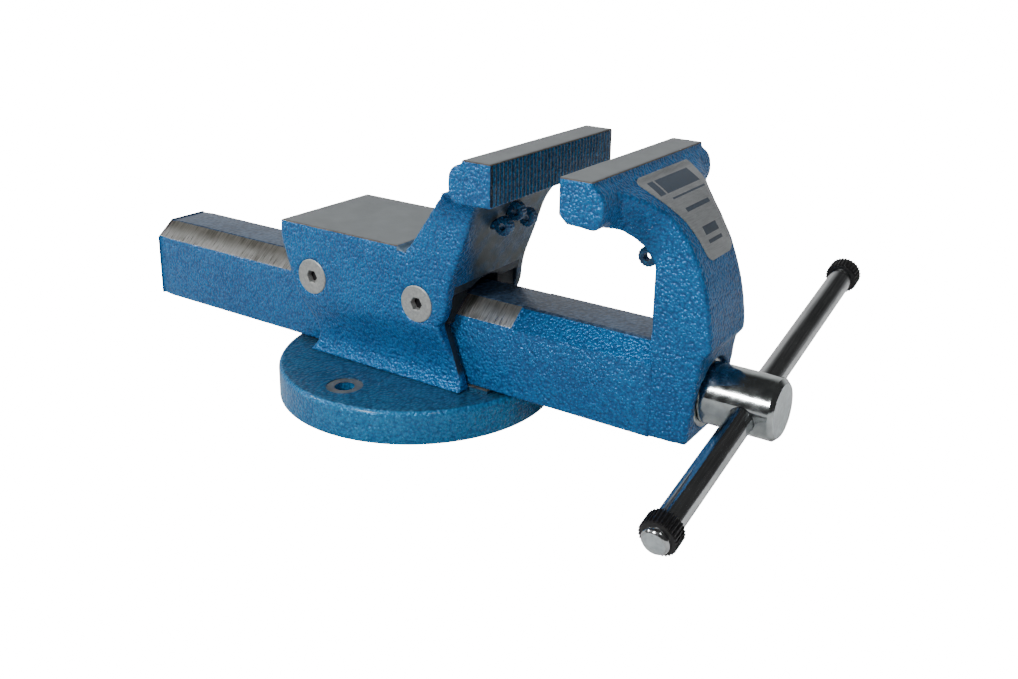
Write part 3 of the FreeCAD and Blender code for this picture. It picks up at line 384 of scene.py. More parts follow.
# Grey cast iron, machined: mid grey, granular.
CAST_IRON = Plain("#4c4f51", "#6a6d6f", 0.7, (0.4, 0.55), 1.2)


class Palette:
    """Every material of the vise, each made once."""

    def __init__(self, vise: "Vise") -> None:
        """Build the materials from the vise's shared heights."""
        self.vise = vise
        self.forged = self.forged_enamel()
        self.bar = self.bar_enamel()
        self.base = self.base_enamel()
        self.serrated = self.simple("hammertone_enamel_on_teeth",
                                    HammertoneEnamel("#0b3f63", "#10527c", "#1a6a96", 1.6, 0.12),
                                    coat=0.3)
        self.studs = self.simple("hammertone_enamel_on_studs",
                                 HammertoneEnamel("#08375c", "#0d4b75", "#16628c", 1.4, 0.15),
                                 coat=0.4)
        self.turned = self.simple("turned_mild_steel",
                                  MachinedSteel(stroke_mm=0.6, stretch=(1.0, 0.1, 0.1)))
        self.chrome = self.simple("bright_chrome_plate", CHROME)
        self.drawn = self.simple("bright_drawn_steel_plated",
                                 MachinedSteel("#9a9d9f", "#c2c5c6", 1.1, (1.0, 0.03, 0.03),
                                               1.0, (0.12, 0.22)))
        self.faced = self.simple("faced_steel_plated", Plain("#b6bec1", "#cfd6d8", 0.8,
                                                              (0.3, 0.42), 3.0))
        self.zinc = self.simple("matte_zinc_phosphate", MATTE_ZINC)
        self.black = self.simple("black_oxide_steel", BLACK_OXIDE)
        self.bronze = self.simple("turned_tin_bronze", TIN_BRONZE)
        self.rubber = self.simple("moulded_nitrile_rubber", NITRILE)
        self.iron = self.simple("machined_cast_iron", CAST_IRON)
        # Painted shadow: the gibs get a near-black colour so that their ends read as the shade in
        # the tunnel mouth.
        self.gib = self.simple("hardened_steel_in_painted_shadow",
                               Plain("#0a1118", "#111b24", 0.0, (0.6, 0.75), 3.0))
        self.foil = self.label_foil()

    def simple(self, name: str, finish: object, coat: float = 0.0) -> bpy.types.Material:
        """Material with the same finish all over."""
        surface = Surface(name)
        return surface.finish(finish.shade(surface), coat)

    def forged_enamel(self) -> bpy.types.Material:
        """Painted forgings with ground tops, a bare groove, a grey throat patch, and painted shadow
        in the tunnel and between the teeth.
        """
        v = self.vise
        surface = Surface("hammertone_enamel_on_forging")
        paint = HammertoneEnamel().shade(surface)
        steel = GroundSteel().shade(surface)
        jaw_tops = surface.inside(surface.z, v.jaw_top - 0.25 * MM, 1.0, 0.12 * MM)
        anvil = surface.both(
            surface.inside(surface.z, v.anvil_z - 0.25 * MM, v.anvil_z + 2 * MM, 0.12 * MM),
            surface.inside(surface.x, -1.0, v.anvil_front, 0.3 * MM))
        rim_tops = surface.inside(surface.z, v.jaw_top - 0.8 * MM, 1.0, 0.2 * MM)
        rim_anvil = surface.both(
            surface.inside(surface.z, v.anvil_z - 0.8 * MM, v.anvil_z + 2 * MM, 0.2 * MM),
            surface.inside(surface.x, -1.0, v.anvil_front, 0.3 * MM))
        edge = Plain("#4a4138", "#6b6257", 0.5, (0.4, 0.6)).shade(surface)
        groove = surface.both(
            surface.inside(surface.x, v.anvil_front - 0.4 * MM, v.anvil_front + 7.5 * MM,
                           0.5 * MM),
            surface.inside(surface.z, v.anvil_z - 3.4 * MM, v.anvil_z - 0.4 * MM, 0.3 * MM))
        worn = surface.levels(surface.noise(12.0, 3.0), 0.65, 1.1)
        # Grey patch with ragged edges over the throat face, on the faces that look towards +X.
        grey_throat_patch = surface.both(
            surface.inside(surface.x, 48 * MM, 88 * MM, 3 * MM),
            surface.inside(self.throat_slant(surface), -32 * MM, 200 * MM, 9 * MM),
            surface.inside(surface.z, 72 * MM, 160 * MM, 4 * MM), self.faces_front(surface),
            worn)
        bare = Plain("#3b4347", "#50585c", 0.35, (0.45, 0.6), 9.0).shade(surface)
        # Painted shade: where the gripping faces show between the teeth they are painted near
        # black, standing in for the shade there.
        gripping = surface.both(
            surface.either(surface.inside(surface.x, v.fixed_face - 0.7 * MM, v.fixed_face + 1 * MM,
                                          0.1 * MM),
                           surface.inside(surface.x, v.moving_face - 1 * MM,
                                          v.moving_face + 0.7 * MM, 0.1 * MM)),
            surface.inside(surface.z, v.jaw_top - 25 * MM, v.jaw_top - 0.5 * MM))
        painted_tooth_gap_shade = HammertoneEnamel("#03141f", "#061f31", "#0a2c42", 1.4, 0.1).shade(surface)
        # Painted shadow: inside the bar's tunnel and its gib pockets the enamel gives way to a
        # near-black shade where shade falls in the body.
        bore = surface.both(
            surface.inside(surface.x, -1.0, 62 * MM, 1 * MM),
            surface.inside(surface.y, -36.6 * MM, 36.6 * MM, 0.3 * MM),
            surface.inside(surface.z, 26 * MM, 93 * MM, 0.3 * MM),
            surface.either(surface.inside(surface.y, -36.6 * MM, -30 * MM, 0.3 * MM),
                           surface.inside(surface.y, 30 * MM, 36.6 * MM, 0.3 * MM),
                           surface.inside(surface.z, 82 * MM, 93 * MM, 0.3 * MM)))
        shadow = Plain("#0c1a26", "#142737", 0.1, (0.55, 0.7)).shade(surface)
        shade = surface.over(grey_throat_patch, bare, paint)
        shade = surface.over(bore, shadow, shade)
        shade = surface.over(gripping, painted_tooth_gap_shade, shade)
        shade = surface.over(groove, Plain("#3f5364", "#54687a", 0.4, (0.4, 0.55))
                             .shade(surface), shade)
        shade = surface.over(surface.either(rim_tops, rim_anvil), edge, shade)
        shade = surface.over(surface.either(jaw_tops, anvil), steel, shade)
        return surface.finish(shade, 0.2, 0.14)

    def throat_slant(self, surface: Surface) -> bpy.types.NodeSocket:
        """Distance across the throat face, less towards its foot."""
        return add_node(surface.tree, "ShaderNodeMath", {"operation": "MULTIPLY_ADD"},
                        {0: surface.z, 1: 0.5, 2: add_node(
                            surface.tree, "ShaderNodeMath", {"operation": "SUBTRACT"},
                            {0: surface.y, 1: 60 * MM}).outputs[0]}).outputs[0]

    def faces_front(self, surface: Surface) -> bpy.types.NodeSocket:
        """Mask of the faces that look towards +X."""
        facing = add_node(surface.tree, "ShaderNodeNewGeometry").outputs["True Normal"]
        split = add_node(surface.tree, "ShaderNodeSeparateXYZ", None, {0: facing})
        return surface.inside(split.outputs[0], 0.45, 2.0, 0.2)

    def bar_enamel(self) -> bpy.types.Material:
        """Painted slide bar whose chamfers are milled bare as far as the stop."""
        v = self.vise
        surface = Surface("hammertone_enamel_on_slide_bar")
        paint = HammertoneEnamel().shade(surface)
        # Painted shade: the bar's top face takes a darker, greyer copy of the same enamel.
        shaded_top_enamel = HammertoneEnamel("#22354c", "#30455e", "#40566f", 2.6, 0.08).shade(surface)
        milled = MachinedSteel("#7a7870", "#c4c4c2", 0.9, (1.0, 0.08, 0.08),
                               0.9, (0.26, 0.4)).shade(surface)
        top = surface.inside(surface.z, v.bar_top - 0.9 * MM, 1.0, 0.1 * MM)
        size = add_node(surface.tree, "ShaderNodeMath", {"operation": "ABSOLUTE"},
                        {0: surface.y}).outputs[0]
        chamfer = surface.both(
            surface.inside(surface.x, -1.0, v.bare_end, 0.4 * MM),
            surface.inside(surface.z, v.bar_top - 10.9 * MM, v.bar_top - 0.5 * MM, 0.15 * MM),
            surface.inside(size, 15.2 * MM, 28.6 * MM, 0.15 * MM))
        # Darker milled finish towards the upper edge of each chamfer.
        darker_upper_chamfer_finish = MachinedSteel("#55524a", "#908e88", 0.9, (1.0, 0.08, 0.08),
                                0.9, (0.3, 0.45)).shade(surface)
        upper = surface.inside(surface.z, v.bar_top - 5.5 * MM, 1.0, 3.0 * MM)
        milled = surface.over(upper, darker_upper_chamfer_finish, milled)
        shade = surface.over(top, shaded_top_enamel, paint)
        shade = surface.over(chamfer, milled, shade)
        return surface.finish(shade, 0.3, 0.18)

    def base_enamel(self) -> bpy.types.Material:
        """Painted base whose spot faces and slideway pad are machined bare, with painted shade on
        its top.
        """
        v = self.vise
        surface = Surface("hammertone_enamel_on_base")
        # Painted shade: the side enamel is the lit copy and the top enamel a darker, greyer copy of
        # the same paint, laid on the upward face.
        side = HammertoneEnamel("#0b5a8c", "#126a9c", "#1b78a9", 1.9, 0.34).shade(surface)
        top = HammertoneEnamel("#163a56", "#204b69", "#2b5d7c", 2.4, 0.16).shade(surface)
        bare = MachinedSteel("#45443e", "#74716a", 1.4, (0.3, 0.3, 1.0), 0.6,
                             (0.4, 0.55)).shade(surface)
        upper = surface.inside(surface.z, v.base_top - 0.5 * MM, 1.0, 0.4 * MM)
        shade = surface.over(upper, top, side)
        masks = []
        for y in (-v.bolt_y, v.bolt_y):
            apart = add_node(surface.tree, "ShaderNodeVectorMath", {"operation": "DISTANCE"},
                             {0: surface.place, 1: (v.bolt_x, y, v.base_top)}).outputs[1]
            masks.append(surface.both(
                surface.inside(apart, 6.4 * MM, 11.9 * MM, 0.2 * MM),
                surface.inside(surface.z, v.base_top - 0.9 * MM, 1.0, 0.1 * MM)))
        masks.append(surface.inside(surface.z, v.base_top + 2.1 * MM, 1.0, 0.1 * MM))
        shade = surface.over(surface.either(*masks), bare, shade)
        return surface.finish(shade, 0.3, 0.18)

    def label_foil(self) -> bpy.types.Material:
        """Printed aluminium foil: satin grey with plain dark bars and no lettering."""
        v = self.vise
        surface = Surface("printed_aluminium_foil")
        foil = MachinedSteel("#85898c", "#a6aaad", 0.5, (1.0, 0.06, 1.0), 0.75,
                             (0.3, 0.42)).shade(surface)
        ink = Plain("#22303f", "#2d3c4c", 0.1, (0.35, 0.45)).shade(surface)
        middle = v.label_y
        top = v.jaw_top
        bars = [(-27, -20, -14.5, -8.5), (-18, 25, -14.5, -8.5), (-18, 25, -17.4, -16.6),
                (-14, 17, -24.4, -22.4), (-9, 9, -37.5, -33), (-9, 9, -42, -40)]
        masks = [
            surface.both(surface.inside(surface.y, middle + a * MM, middle + b * MM, 0.15 * MM),
                         surface.inside(surface.z, top + c * MM, top + d * MM, 0.15 * MM))
            for a, b, c, d in bars]
        return surface.finish(surface.over(surface.either(*masks), ink, foil), 0.2, 0.2)


# ---------------------------------------------------------------- mesh tools


def new_object(name: str, mesh: bpy.types.Mesh) -> bpy.types.Object:
    """Object of that name in the scene, holding the mesh."""
    thing = bpy.data.objects.new(name, mesh)
    bpy.context.scene.collection.objects.link(thing)
    return thing


def smooth_by_angle(mesh: bpy.types.Mesh, degrees: float = 32.0) -> None:
    """Shade smooth, with edges sharper than the angle left crisp."""
    mesh.shade_smooth()
    mesh.set_sharp_from_angle(angle=math.radians(degrees))


def loft(name: str, shells: Sequence[Sequence[Loop]], closed: bool = False) -> bpy.types.Mesh:
    """Mesh of skins stretched over successive loops.

    Args:
        name: Name of the mesh.
        shells: For each separate skin, loops with the same number of points. The end
            loops get a cap unless the skin is closed.
        closed: Whether the last loop joins the first, as in a ring.

    Returns:
        The mesh, its faces outwards.
    """
    bm = bmesh.new()
    for loops in shells:
        rows = [[bm.verts.new(point) for point in loop] for loop in loops]
        count = len(rows[0])
        pairs = list(zip(rows, rows[1:]))
        if closed:
            pairs.append((rows[-1], rows[0]))
        for first, second in pairs:
            for i in range(count):
                j = (i + 1) % count
                bm.faces.new((first[i], first[j], second[j], second[i]))
        if not closed:
            bm.faces.new(list(reversed(rows[0])))
            bm.faces.new(rows[-1])
    bmesh.ops.remove_doubles(bm, verts=bm.verts, dist=1e-7)
    bmesh.ops.recalc_face_normals(bm, faces=bm.faces)
    mesh = bpy.data.meshes.new(name)
    bm.to_mesh(mesh)
    bm.free()
    return mesh


def circle(radius: float, station: float, frame: Matrix, count: int = 64,
           tooth: float = 0.0, teeth: int = 0) -> Loop:
    """Loop about a frame's X axis.

    Args:
        radius: Radius of the loop.
        station: Place along the axis.
        frame: Axis frame in the part's frame.
        count: Points in the loop.
        tooth: Depth of a ripple in the radius.
        teeth: Ripples round the loop.

    Returns:
        Its points.
    """
    points = []
    for i in range(count):
        a = math.tau * i / count
        r = radius + tooth * math.cos(teeth * a)
        points.append(tuple(frame @ Vector((station, r * math.cos(a), r * math.sin(a)))))
    return points


def hexagon(across: float, station: float, frame: Matrix, count: int = 48) -> Loop:
    """Hexagonal loop about a frame's X axis, its corners among the points."""
    points = []
    for i in range(count):
        a = math.tau * i / count
        r = across / 2 / math.cos((a % (math.tau / 6)) - math.tau / 12)
        points.append(tuple(frame @ Vector((station, r * math.cos(a), r * math.sin(a)))))
    return points


def turned(name: str, profile: Sequence[tuple[float, float]], frame: Matrix,
           count: int = 64, closed: bool = False) -> bpy.types.Mesh:
    """Turned solid from stations and radii along a frame's X axis."""
    return loft(name, [[circle(r, x, frame, count) for x, r in profile]], closed)


def copied(node: str, name: str) -> bpy.types.Mesh:
    """Copy of a CAD node's mesh with its doubles merged and its shading redone."""
    mesh = bpy.data.objects[node].data.copy()
    mesh.name = name
    bm = bmesh.new()
    bm.from_mesh(mesh)
    bmesh.ops.remove_doubles(bm, verts=bm.verts, dist=2e-6)
    bmesh.ops.dissolve_degenerate(bm, edges=bm.edges, dist=1e-6)
    bm.to_mesh(mesh)
    bm.free()
    if "custom_normal" in mesh.attributes:
        mesh.attributes.remove(mesh.attributes["custom_normal"])
    smooth_by_angle(mesh)
    return mesh


def forging(node: str, name: str, voxel: float, passes: int,
            weight: Callable[[np.ndarray], np.ndarray]) -> bpy.types.Mesh:
    """Forged skin of a CAD node: the same shape with its edges worn round.

    Args:
        node: CAD node to copy.
        name: Name of the mesh.
        voxel: Size of the new skin's faces.
        passes: Rounds of smoothing.
        weight: Share of each round that a point takes, from its coordinates.

    Returns:
        The rounded mesh.
    """
    source = new_object(f"{name}_source", copied(node, f"{name}_source"))
    remesh = source.modifiers.new("Skin", "REMESH")
    remesh.mode = "VOXEL"
    remesh.voxel_size = voxel
    graph = bpy.context.evaluated_depsgraph_get()
    mesh = bpy.data.meshes.new_from_object(source.evaluated_get(graph))
    mesh.name = name
    bpy.data.objects.remove(source)
    count = len(mesh.vertices)
    points = np.empty(count * 3)
    mesh.vertices.foreach_get("co", points)
    points = points.reshape(-1, 3)
    ends = np.empty(len(mesh.edges) * 2, dtype=np.int64)
    mesh.edges.foreach_get("vertices", ends)
    first, second = ends.reshape(-1, 2).T
    around = np.bincount(ends, minlength=count)[:, None]
    share = weight(points)[:, None]
    for _ in range(passes):
        total = np.stack([
            np.bincount(first, points[second, k], count)
            + np.bincount(second, points[first, k], count) for k in range(3)], axis=1)
        points += share * 0.5 * (total / around - points)
    mesh.vertices.foreach_set("co", points.ravel())
    mesh.materials.clear()
    mesh.shade_smooth()
    mesh.update()
    return mesh


def fade(distance: np.ndarray, near: float, far: float) -> np.ndarray:
    """0 up to near, 1 beyond far, and straight between them."""
    return np.clip((distance - near) / (far - near), 0, 1)


# ---------------------------------------------------------------- geometry nodes


@dataclass
class NodeTool:
    """Geometry node tree with named inputs, run once on a mesh and then dropped."""

    name: str
    sizes: dict[str, tuple[str, float]]
    tree: bpy.types.NodeTree = field(init=False)
    entry: bpy.types.Node = field(init=False)

    def __post_init__(self) -> None:
        """Open the tree with its geometry, number and material inputs."""
        self.tree = bpy.data.node_groups.new(self.name, "GeometryNodeTree")
        face = self.tree.interface
        face.new_socket("Geometry", in_out="INPUT", socket_type="NodeSocketGeometry")
        for label, (kind, value) in self.sizes.items():
            made = face.new_socket(label, in_out="INPUT", socket_type=kind)
            made.default_value = value
        face.new_socket("Finish", in_out="INPUT", socket_type="NodeSocketMaterial")
        face.new_socket("Geometry", in_out="OUTPUT", socket_type="NodeSocketGeometry")
        self.entry = add_node(self.tree, "NodeGroupInput")

    def close(self, geometry: bpy.types.NodeSocket) -> None:
        """End the tree in realised instances that carry the finish."""
        real = add_node(self.tree, "GeometryNodeRealizeInstances", None, {0: geometry})
        dressed = add_node(self.tree, "GeometryNodeSetMaterial", None,
                           {"Geometry": real.outputs[0],
                            "Material": self.entry.outputs["Finish"]})
        add_node(self.tree, "NodeGroupOutput", None, {0: dressed.outputs[0]})

    def run(self, name: str, finish: bpy.types.Material, place: Matrix,
            **values: float) -> bpy.types.Mesh:
        """Plain mesh that the tree makes.

        Args:
            name: Name of the mesh.
            finish: Material that it carries.
            place: Where the tree's own frame lies in the part.
            values: Named inputs, with underscores for spaces.

        Returns:
            The mesh, in the part's frame.
        """
        carrier = new_object(f"{name}_carrier", bpy.data.meshes.new(f"{name}_carrier"))
        modifier = carrier.modifiers.new(self.name, "NODES")
        modifier.node_group = self.tree
        wanted = {label.replace("_", " "): value for label, value in values.items()}
        wanted["Finish"] = finish
        for item in self.tree.interface.items_tree:
            if item.in_out == "INPUT" and item.name in wanted:
                modifier[item.identifier] = wanted[item.name]
        graph = bpy.context.evaluated_depsgraph_get()
        mesh = bpy.data.meshes.new_from_object(carrier.evaluated_get(graph))
        mesh.name = name
        mesh.transform(place)
        bpy.data.objects.remove(carrier)
        return mesh


def tooth_row() -> NodeTool:
    """Row of upright wedge teeth along Y, as milled on a gripping face."""
    tool = NodeTool("tooth_row", {"Count": ("NodeSocketInt", 10),
                                  "Pitch": ("NodeSocketFloat", 0.002),
                                  "Width": ("NodeSocketFloat", 0.0016),
                                  "Height": ("NodeSocketFloat", 0.0005),
                                  "Length": ("NodeSocketFloat", 0.02)})
    get = tool.entry.outputs
    ridge = add_node(tool.tree, "GeometryNodeMeshCylinder", None,
                     {"Vertices": 4, "Radius": 0.5, "Depth": 1.0})
    double = add_node(tool.tree, "ShaderNodeMath", {"operation": "MULTIPLY"},
                      {0: get["Height"], 1: 2.0})
    size = add_node(tool.tree, "ShaderNodeCombineXYZ", None,
                    {0: double.outputs[0], 1: get["Width"], 2: get["Length"]})
    shaped = add_node(tool.tree, "GeometryNodeTransform", None,
                      {"Geometry": ridge.outputs[0], "Scale": size.outputs[0]})
    step = add_node(tool.tree, "ShaderNodeCombineXYZ", None, {1: get["Pitch"]})
    line = add_node(tool.tree, "GeometryNodeMeshLine", None,
                    {"Count": get["Count"], "Offset": step.outputs[0]})
    copies = add_node(tool.tree, "GeometryNodeInstanceOnPoints", None,
                      {"Points": line.outputs[0], "Instance": shaped.outputs[0]})
    tool.close(copies.outputs[0])
    return tool


def rib_ring() -> NodeTool:
    """Ring of bars about the X axis and parallel to it, as moulded on a grip."""
    tool = NodeTool("rib_ring", {"Count": ("NodeSocketInt", 20),
                                 "Radius": ("NodeSocketFloat", 0.01),
                                 "Width": ("NodeSocketFloat", 0.001),
                                 "Length": ("NodeSocketFloat", 0.01)})
    get = tool.entry.outputs
    rib = add_node(tool.tree, "GeometryNodeMeshCylinder", None,
                   {"Vertices": 8, "Radius": 0.5, "Depth": 1.0})
    size = add_node(tool.tree, "ShaderNodeCombineXYZ", None,
                    {0: get["Width"], 1: get["Width"], 2: get["Length"]})
    shaped = add_node(tool.tree, "GeometryNodeTransform", None,
                      {"Geometry": rib.outputs[0], "Scale": size.outputs[0]})
    ring = add_node(tool.tree, "GeometryNodeMeshCircle", None,
                    {"Vertices": get["Count"], "Radius": get["Radius"]})
    copies = add_node(tool.tree, "GeometryNodeInstanceOnPoints", None,
                      {"Points": ring.outputs[0], "Instance": shaped.outputs[0]})
    turned_over = add_node(tool.tree, "GeometryNodeTransform", None,
                           {"Geometry": copies.outputs[0],
                            "Rotation": (0.0, math.pi / 2, 0.0)})
    tool.close(turned_over.outputs[0])
    return tool


# ---------------------------------------------------------------- the vise


@dataclass
class Vise:
    """Heights, stations and node tools that every sub-assembly shares."""

    base_top: float = 22.5 * MM
    bar_top: float = 82.5 * MM
    anvil_z: float = 115.0 * MM
    anvil_front: float = 18.0 * MM
    jaw_top: float = 185.5 * MM
    jaw_half: float = 70.0 * MM
    fixed_face: float = 109.0 * MM
    moving_face: float = 153.0 * MM
    spindle_z: float = 51.0 * MM
    bolt_x: float = -4.0 * MM
    bolt_y: float = 72.0 * MM
    bare_end: float = 96.0 * MM
    label_y: float = 4.5 * MM
    handle_x: float = 248.0 * MM
    handle_tilt: float = math.radians(12.2)
    palette: Palette = field(init=False)
    teeth: NodeTool = field(init=False)
    ribs: NodeTool = field(init=False)

    def __post_init__(self) -> None:
        """Make the materials and the node tools."""
        self.palette = Palette(self)
        self.teeth = tooth_row()
        self.ribs = rib_ring()

    @property
    def spindle_frame(self) -> Matrix:
        """Frame whose X axis is the spindle's, turned with the handle."""
        return (Matrix.Translation((0, 0, self.spindle_z))
                @ Matrix.Rotation(self.handle_tilt, 4, "X"))

    @property
    def handle_frame(self) -> Matrix:
        """Frame whose X axis runs along the handle bar from the spindle axis."""
        return (Matrix.Translation((self.handle_x, 0, self.spindle_z))
                @ Matrix.Rotation(self.handle_tilt, 4, "X") @ Matrix.Rotation(math.pi / 2, 4, "Z"))


def mount(name: str, mesh: bpy.types.Mesh, body: Body, slot: Slot,
          finish: Optional[bpy.types.Material], *nodes: str) -> bpy.types.Object:
    """Put a finished piece into the scene.

    Args:
        name: Name of the piece.
        mesh: Its mesh, in the part's frame.
        body: Body that it moves with.
        slot: Material slot of the record; not used.
        finish: Its material, or None where the mesh has its own.
        nodes: CAD nodes that it stands for.

    Returns:
        The piece.
    """
    if finish is not None:
        mesh.materials.clear()
        mesh.materials.append(finish)
    piece = new_object(name, mesh)
    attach(piece, body.value)
    if nodes:
        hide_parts(*nodes)
    log.info("%s: %d faces, rides on %s", name, len(mesh.polygons), body.value)
    return piece


@dataclass
class Base:
    """Round base flange, bolted to the bench, with the nut and its screws."""

    vise: Vise

    def build(self) -> None:
        """Make the base and what is fixed to it."""
        paint = self.vise.palette
        mount("base_flange", copied("base_plate", "base_flange"), Body.FIXED, Slot.PAINT,
              paint.base, "base_plate")
        mount("nut_block", copied("spindle_nut", "nut_block"), Body.FIXED, Slot.STEEL,
              paint.iron, "spindle_nut")
        self.cap_screws()

    def cap_screws(self, head: float = 6.5 * MM, rise: float = 8.0 * MM) -> None:
        """Two socket cap screws under the base."""
        shells = []
        for x in (-50.0 * MM, -14.0 * MM):
            frame = Matrix.Translation((x, 0, 1.5 * MM)) @ Matrix.Rotation(-math.pi / 2, 4, "Y")
            shells.append([
                hexagon(6 * MM, 4 * MM, frame), hexagon(6 * MM, 0.0, frame),
                circle(head - 0.8 * MM, 0.0, frame, 48), circle(head, 0.8 * MM, frame, 48),
                circle(head, rise, frame, 48), circle(4 * MM, rise, frame, 48),
                circle(4 * MM, 31.7 * MM, frame, 48), circle(3.2 * MM, 32.5 * MM, frame, 48)])
        mesh = loft("base_cap_screws", shells)
        smooth_by_angle(mesh)
        mount("base_cap_screws", mesh, Body.FIXED, Slot.BLACK, self.vise.palette.black,
              "nut_screws")


@dataclass
class FixedBody:
    """Forged body with its anvil, arm and rear jaw, and the guides inside it."""

    vise: Vise
    voxel: float = 1.2 * MM
    passes: int = 9
    screw_x: tuple[float, float] = (-57.6 * MM, 33.0 * MM)
    screw_z: float = 78.5 * MM
    side: float = 44.0 * MM
    head_radius: float = 12.3 * MM
    hex_across: float = 8.0 * MM

    def worn(self, points: np.ndarray) -> np.ndarray:
        """Share of the rounding that each point of the body takes."""
        v = self.vise
        x, y, z = points.T
        share = fade(np.abs(z - v.anvil_z) + 1.0 * (x > v.anvil_front + 9 * MM), 1.2 * MM, 3 * MM)
        share *= fade(np.abs(z - v.jaw_top), 1.2 * MM, 3 * MM)
        share *= fade(np.abs(x - v.fixed_face), -1.5 * MM, 5 * MM)
        ends = 0.14 + 0.86 * fade(70 * MM - np.abs(y), 3 * MM, 9 * MM)
        share *= np.where(z > 140 * MM, ends, 1.0)
        for station in self.screw_x:
            apart = np.hypot(x - station, z - self.screw_z) + 1.0 * (np.abs(y) < 30 * MM)
            share *= fade(apart, 13.5 * MM, 16 * MM)
        inner = np.maximum(np.abs(y) - 33 * MM, z - 88 * MM)
        share *= fade(inner, 0.0, 4 * MM)
        return share

    def build(self) -> None:
        """Make the body, its guides, its screws, its teeth and its pipe studs."""
        v, paint = self.vise, self.vise.palette
        body = forging("fixed_jaw", "forged_body", self.voxel, self.passes, self.worn)
        set_back(body, v.fixed_face, -0.5 * MM)
        mount("forged_body", body, Body.FIXED, Slot.PAINT, paint.forged, "fixed_jaw")
        for side in ("left", "right"):
            mount(f"guide_gib_{side}", copied(f"gib_{side}", f"guide_gib_{side}"), Body.FIXED,
                  Slot.STEEL, paint.gib, f"gib_{side}")
        self.gib_screws()
        grip_teeth(v, "fixed_jaw_teeth", v.fixed_face, Body.FIXED)
        pipe_studs(v, "rear_studs", Body.FIXED, "rear_pipe_studs", v.fixed_face - 29 * MM, 1,
                   [(-13.5 * MM, 132 * MM), (0.0, 139 * MM), (13.5 * MM, 132 * MM)])

    def gib_screws(self) -> None:
        """Four countersunk screws with hexagon sockets, flush with the sides."""
        shells, plugs = [], []
        r = self.head_radius
        for side in (1, -1):
            turn = Matrix.Rotation(-side * math.pi / 2, 4, "Z")
            for x in self.screw_x:
                frame = Matrix.Translation((x, side * self.side, self.screw_z)) @ turn
                shells.append([
                    hexagon(self.hex_across, 4.6 * MM, frame),
                    hexagon(self.hex_across, 0.4 * MM, frame),
                    hexagon(self.hex_across + 0.9 * MM, 0.0, frame),
                    circle(r - 0.5 * MM, 0.0, frame, 48), circle(r, 0.35 * MM, frame, 48),
                    circle(r, 0.9 * MM, frame, 48), circle(6 * MM, r - 5.4 * MM, frame, 48),
                    circle(6 * MM, 14.6 * MM, frame, 48)])
                plugs.append([hexagon(self.hex_across - 0.2 * MM, 4.3 * MM, frame),
                              hexagon(self.hex_across - 0.2 * MM, 4.5 * MM, frame)])
        heads = loft("countersunk_screws", shells)
        smooth_by_angle(heads)
        mount("countersunk_screws", heads, Body.FIXED, Slot.PLATED, self.vise.palette.zinc,
              "gib_screws")
        mount("screw_socket_floors", loft("screw_socket_floors", plugs), Body.FIXED, Slot.BLACK,
              self.vise.palette.black)


def two_finishes(mesh: bpy.types.Mesh, round_finish: bpy.types.Material,
                 end_finish: bpy.types.Material, frame: Matrix) -> None:
    """Give a turned piece one finish all round and another on its faced ends.

    Args:
        mesh: The turned piece.
        round_finish: Material of its sides.
        end_finish: Material of the faces square to its axis.
        frame: Frame whose X axis is the piece's axis.
    """
    axis = frame.to_3x3() @ Vector((1, 0, 0))
    mesh.materials.clear()
    mesh.materials.append(round_finish)
    mesh.materials.append(end_finish)
    for face in mesh.polygons:
        face.material_index = int(abs(face.normal.dot(axis)) > 0.98)


def set_back(mesh: bpy.types.Mesh, face: float, step: float) -> None:
    """Move a gripping face along X, so that its teeth end where it was.

    Args:
        mesh: Forging with the face.
        face: X station of the face.
        step: Distance to move it.
    """
    for point in mesh.vertices:
        if abs(point.co.x - face) < 0.3 * MM:
            point.co.x += step


def grip_teeth(v: Vise, name: str, face: float, body: Body, reach: float = 25.3 * MM,
               pitch: float = 3.87 * MM) -> None:
    """Row of upright teeth on one gripping face.

    Args:
        v: The vise.
        name: Name of the piece.
        face: X station of the gripping face.
        body: Body of that jaw.
        reach: Lower end of the teeth below the jaw's top.
        pitch: Distance between teeth.
    """
    count = int((2 * v.jaw_half - pitch) / pitch)
    inward = -0.5 * MM if body is Body.FIXED else 0.5 * MM
    start = Vector((face + inward, -pitch * (count - 1) / 2, v.jaw_top - (reach + 0.9 * MM) / 2))
    mesh = v.teeth.run(name, v.palette.serrated, Matrix.Translation(start),
                       Count=count, Pitch=pitch, Width=2.9 * MM, Height=0.5 * MM,
                       Length=reach - 0.9 * MM)
    mount(name, mesh, body, Slot.PAINT, None)


def pipe_studs(v: Vise, name: str, body: Body, node: str, x: float, way: int,
               rows: Sequence[tuple[float, float]]) -> None:
    """Toothed rings that hold a pipe, each on a shank in the jaw.

    Args:
        v: The vise.
        name: Name of the piece.
        body: Body of that jaw.
        node: CAD node that they stand for.
        x: X station of the rings.
        way: -1 where the shanks run towards +X.
        rows: Y and Z of each ring.
    """
    rings, shanks = [], []
    outer, bore, half = 6.1 * MM, 2.5 * MM, 3.0 * MM
    for y, z in rows:
        frame = Matrix.Translation((x, y, z)) @ Matrix.Rotation(math.pi / 2, 4, "Z")
        rings.append([circle(bore, -half, frame, 96), circle(outer - 1 * MM, -half, frame, 96),
                      circle(outer, -half + 0.7 * MM, frame, 96, 0.22 * MM, 16),
                      circle(outer, half - 0.7 * MM, frame, 96, 0.22 * MM, 16),
                      circle(outer - 1 * MM, half, frame, 96), circle(bore, half, frame, 96)])
        back = Matrix.Translation((x, y, z)) @ Matrix.Rotation(math.pi if way > 0 else 0.0,
                                                              4, "Z")
        shanks.append([circle(3 * MM, 4.0 * MM, back, 32), circle(3 * MM, 26 * MM, back, 32)])
    mesh = loft(name, rings, closed=True)
    smooth_by_angle(mesh, 40)
    mount(name, mesh, body, Slot.PAINT, v.palette.studs, node)
    pins = loft(f"{name}_shanks", shanks)
    smooth_by_angle(pins)
    mount(f"{name}_shanks", pins, body, Slot.PAINT, v.palette.studs)


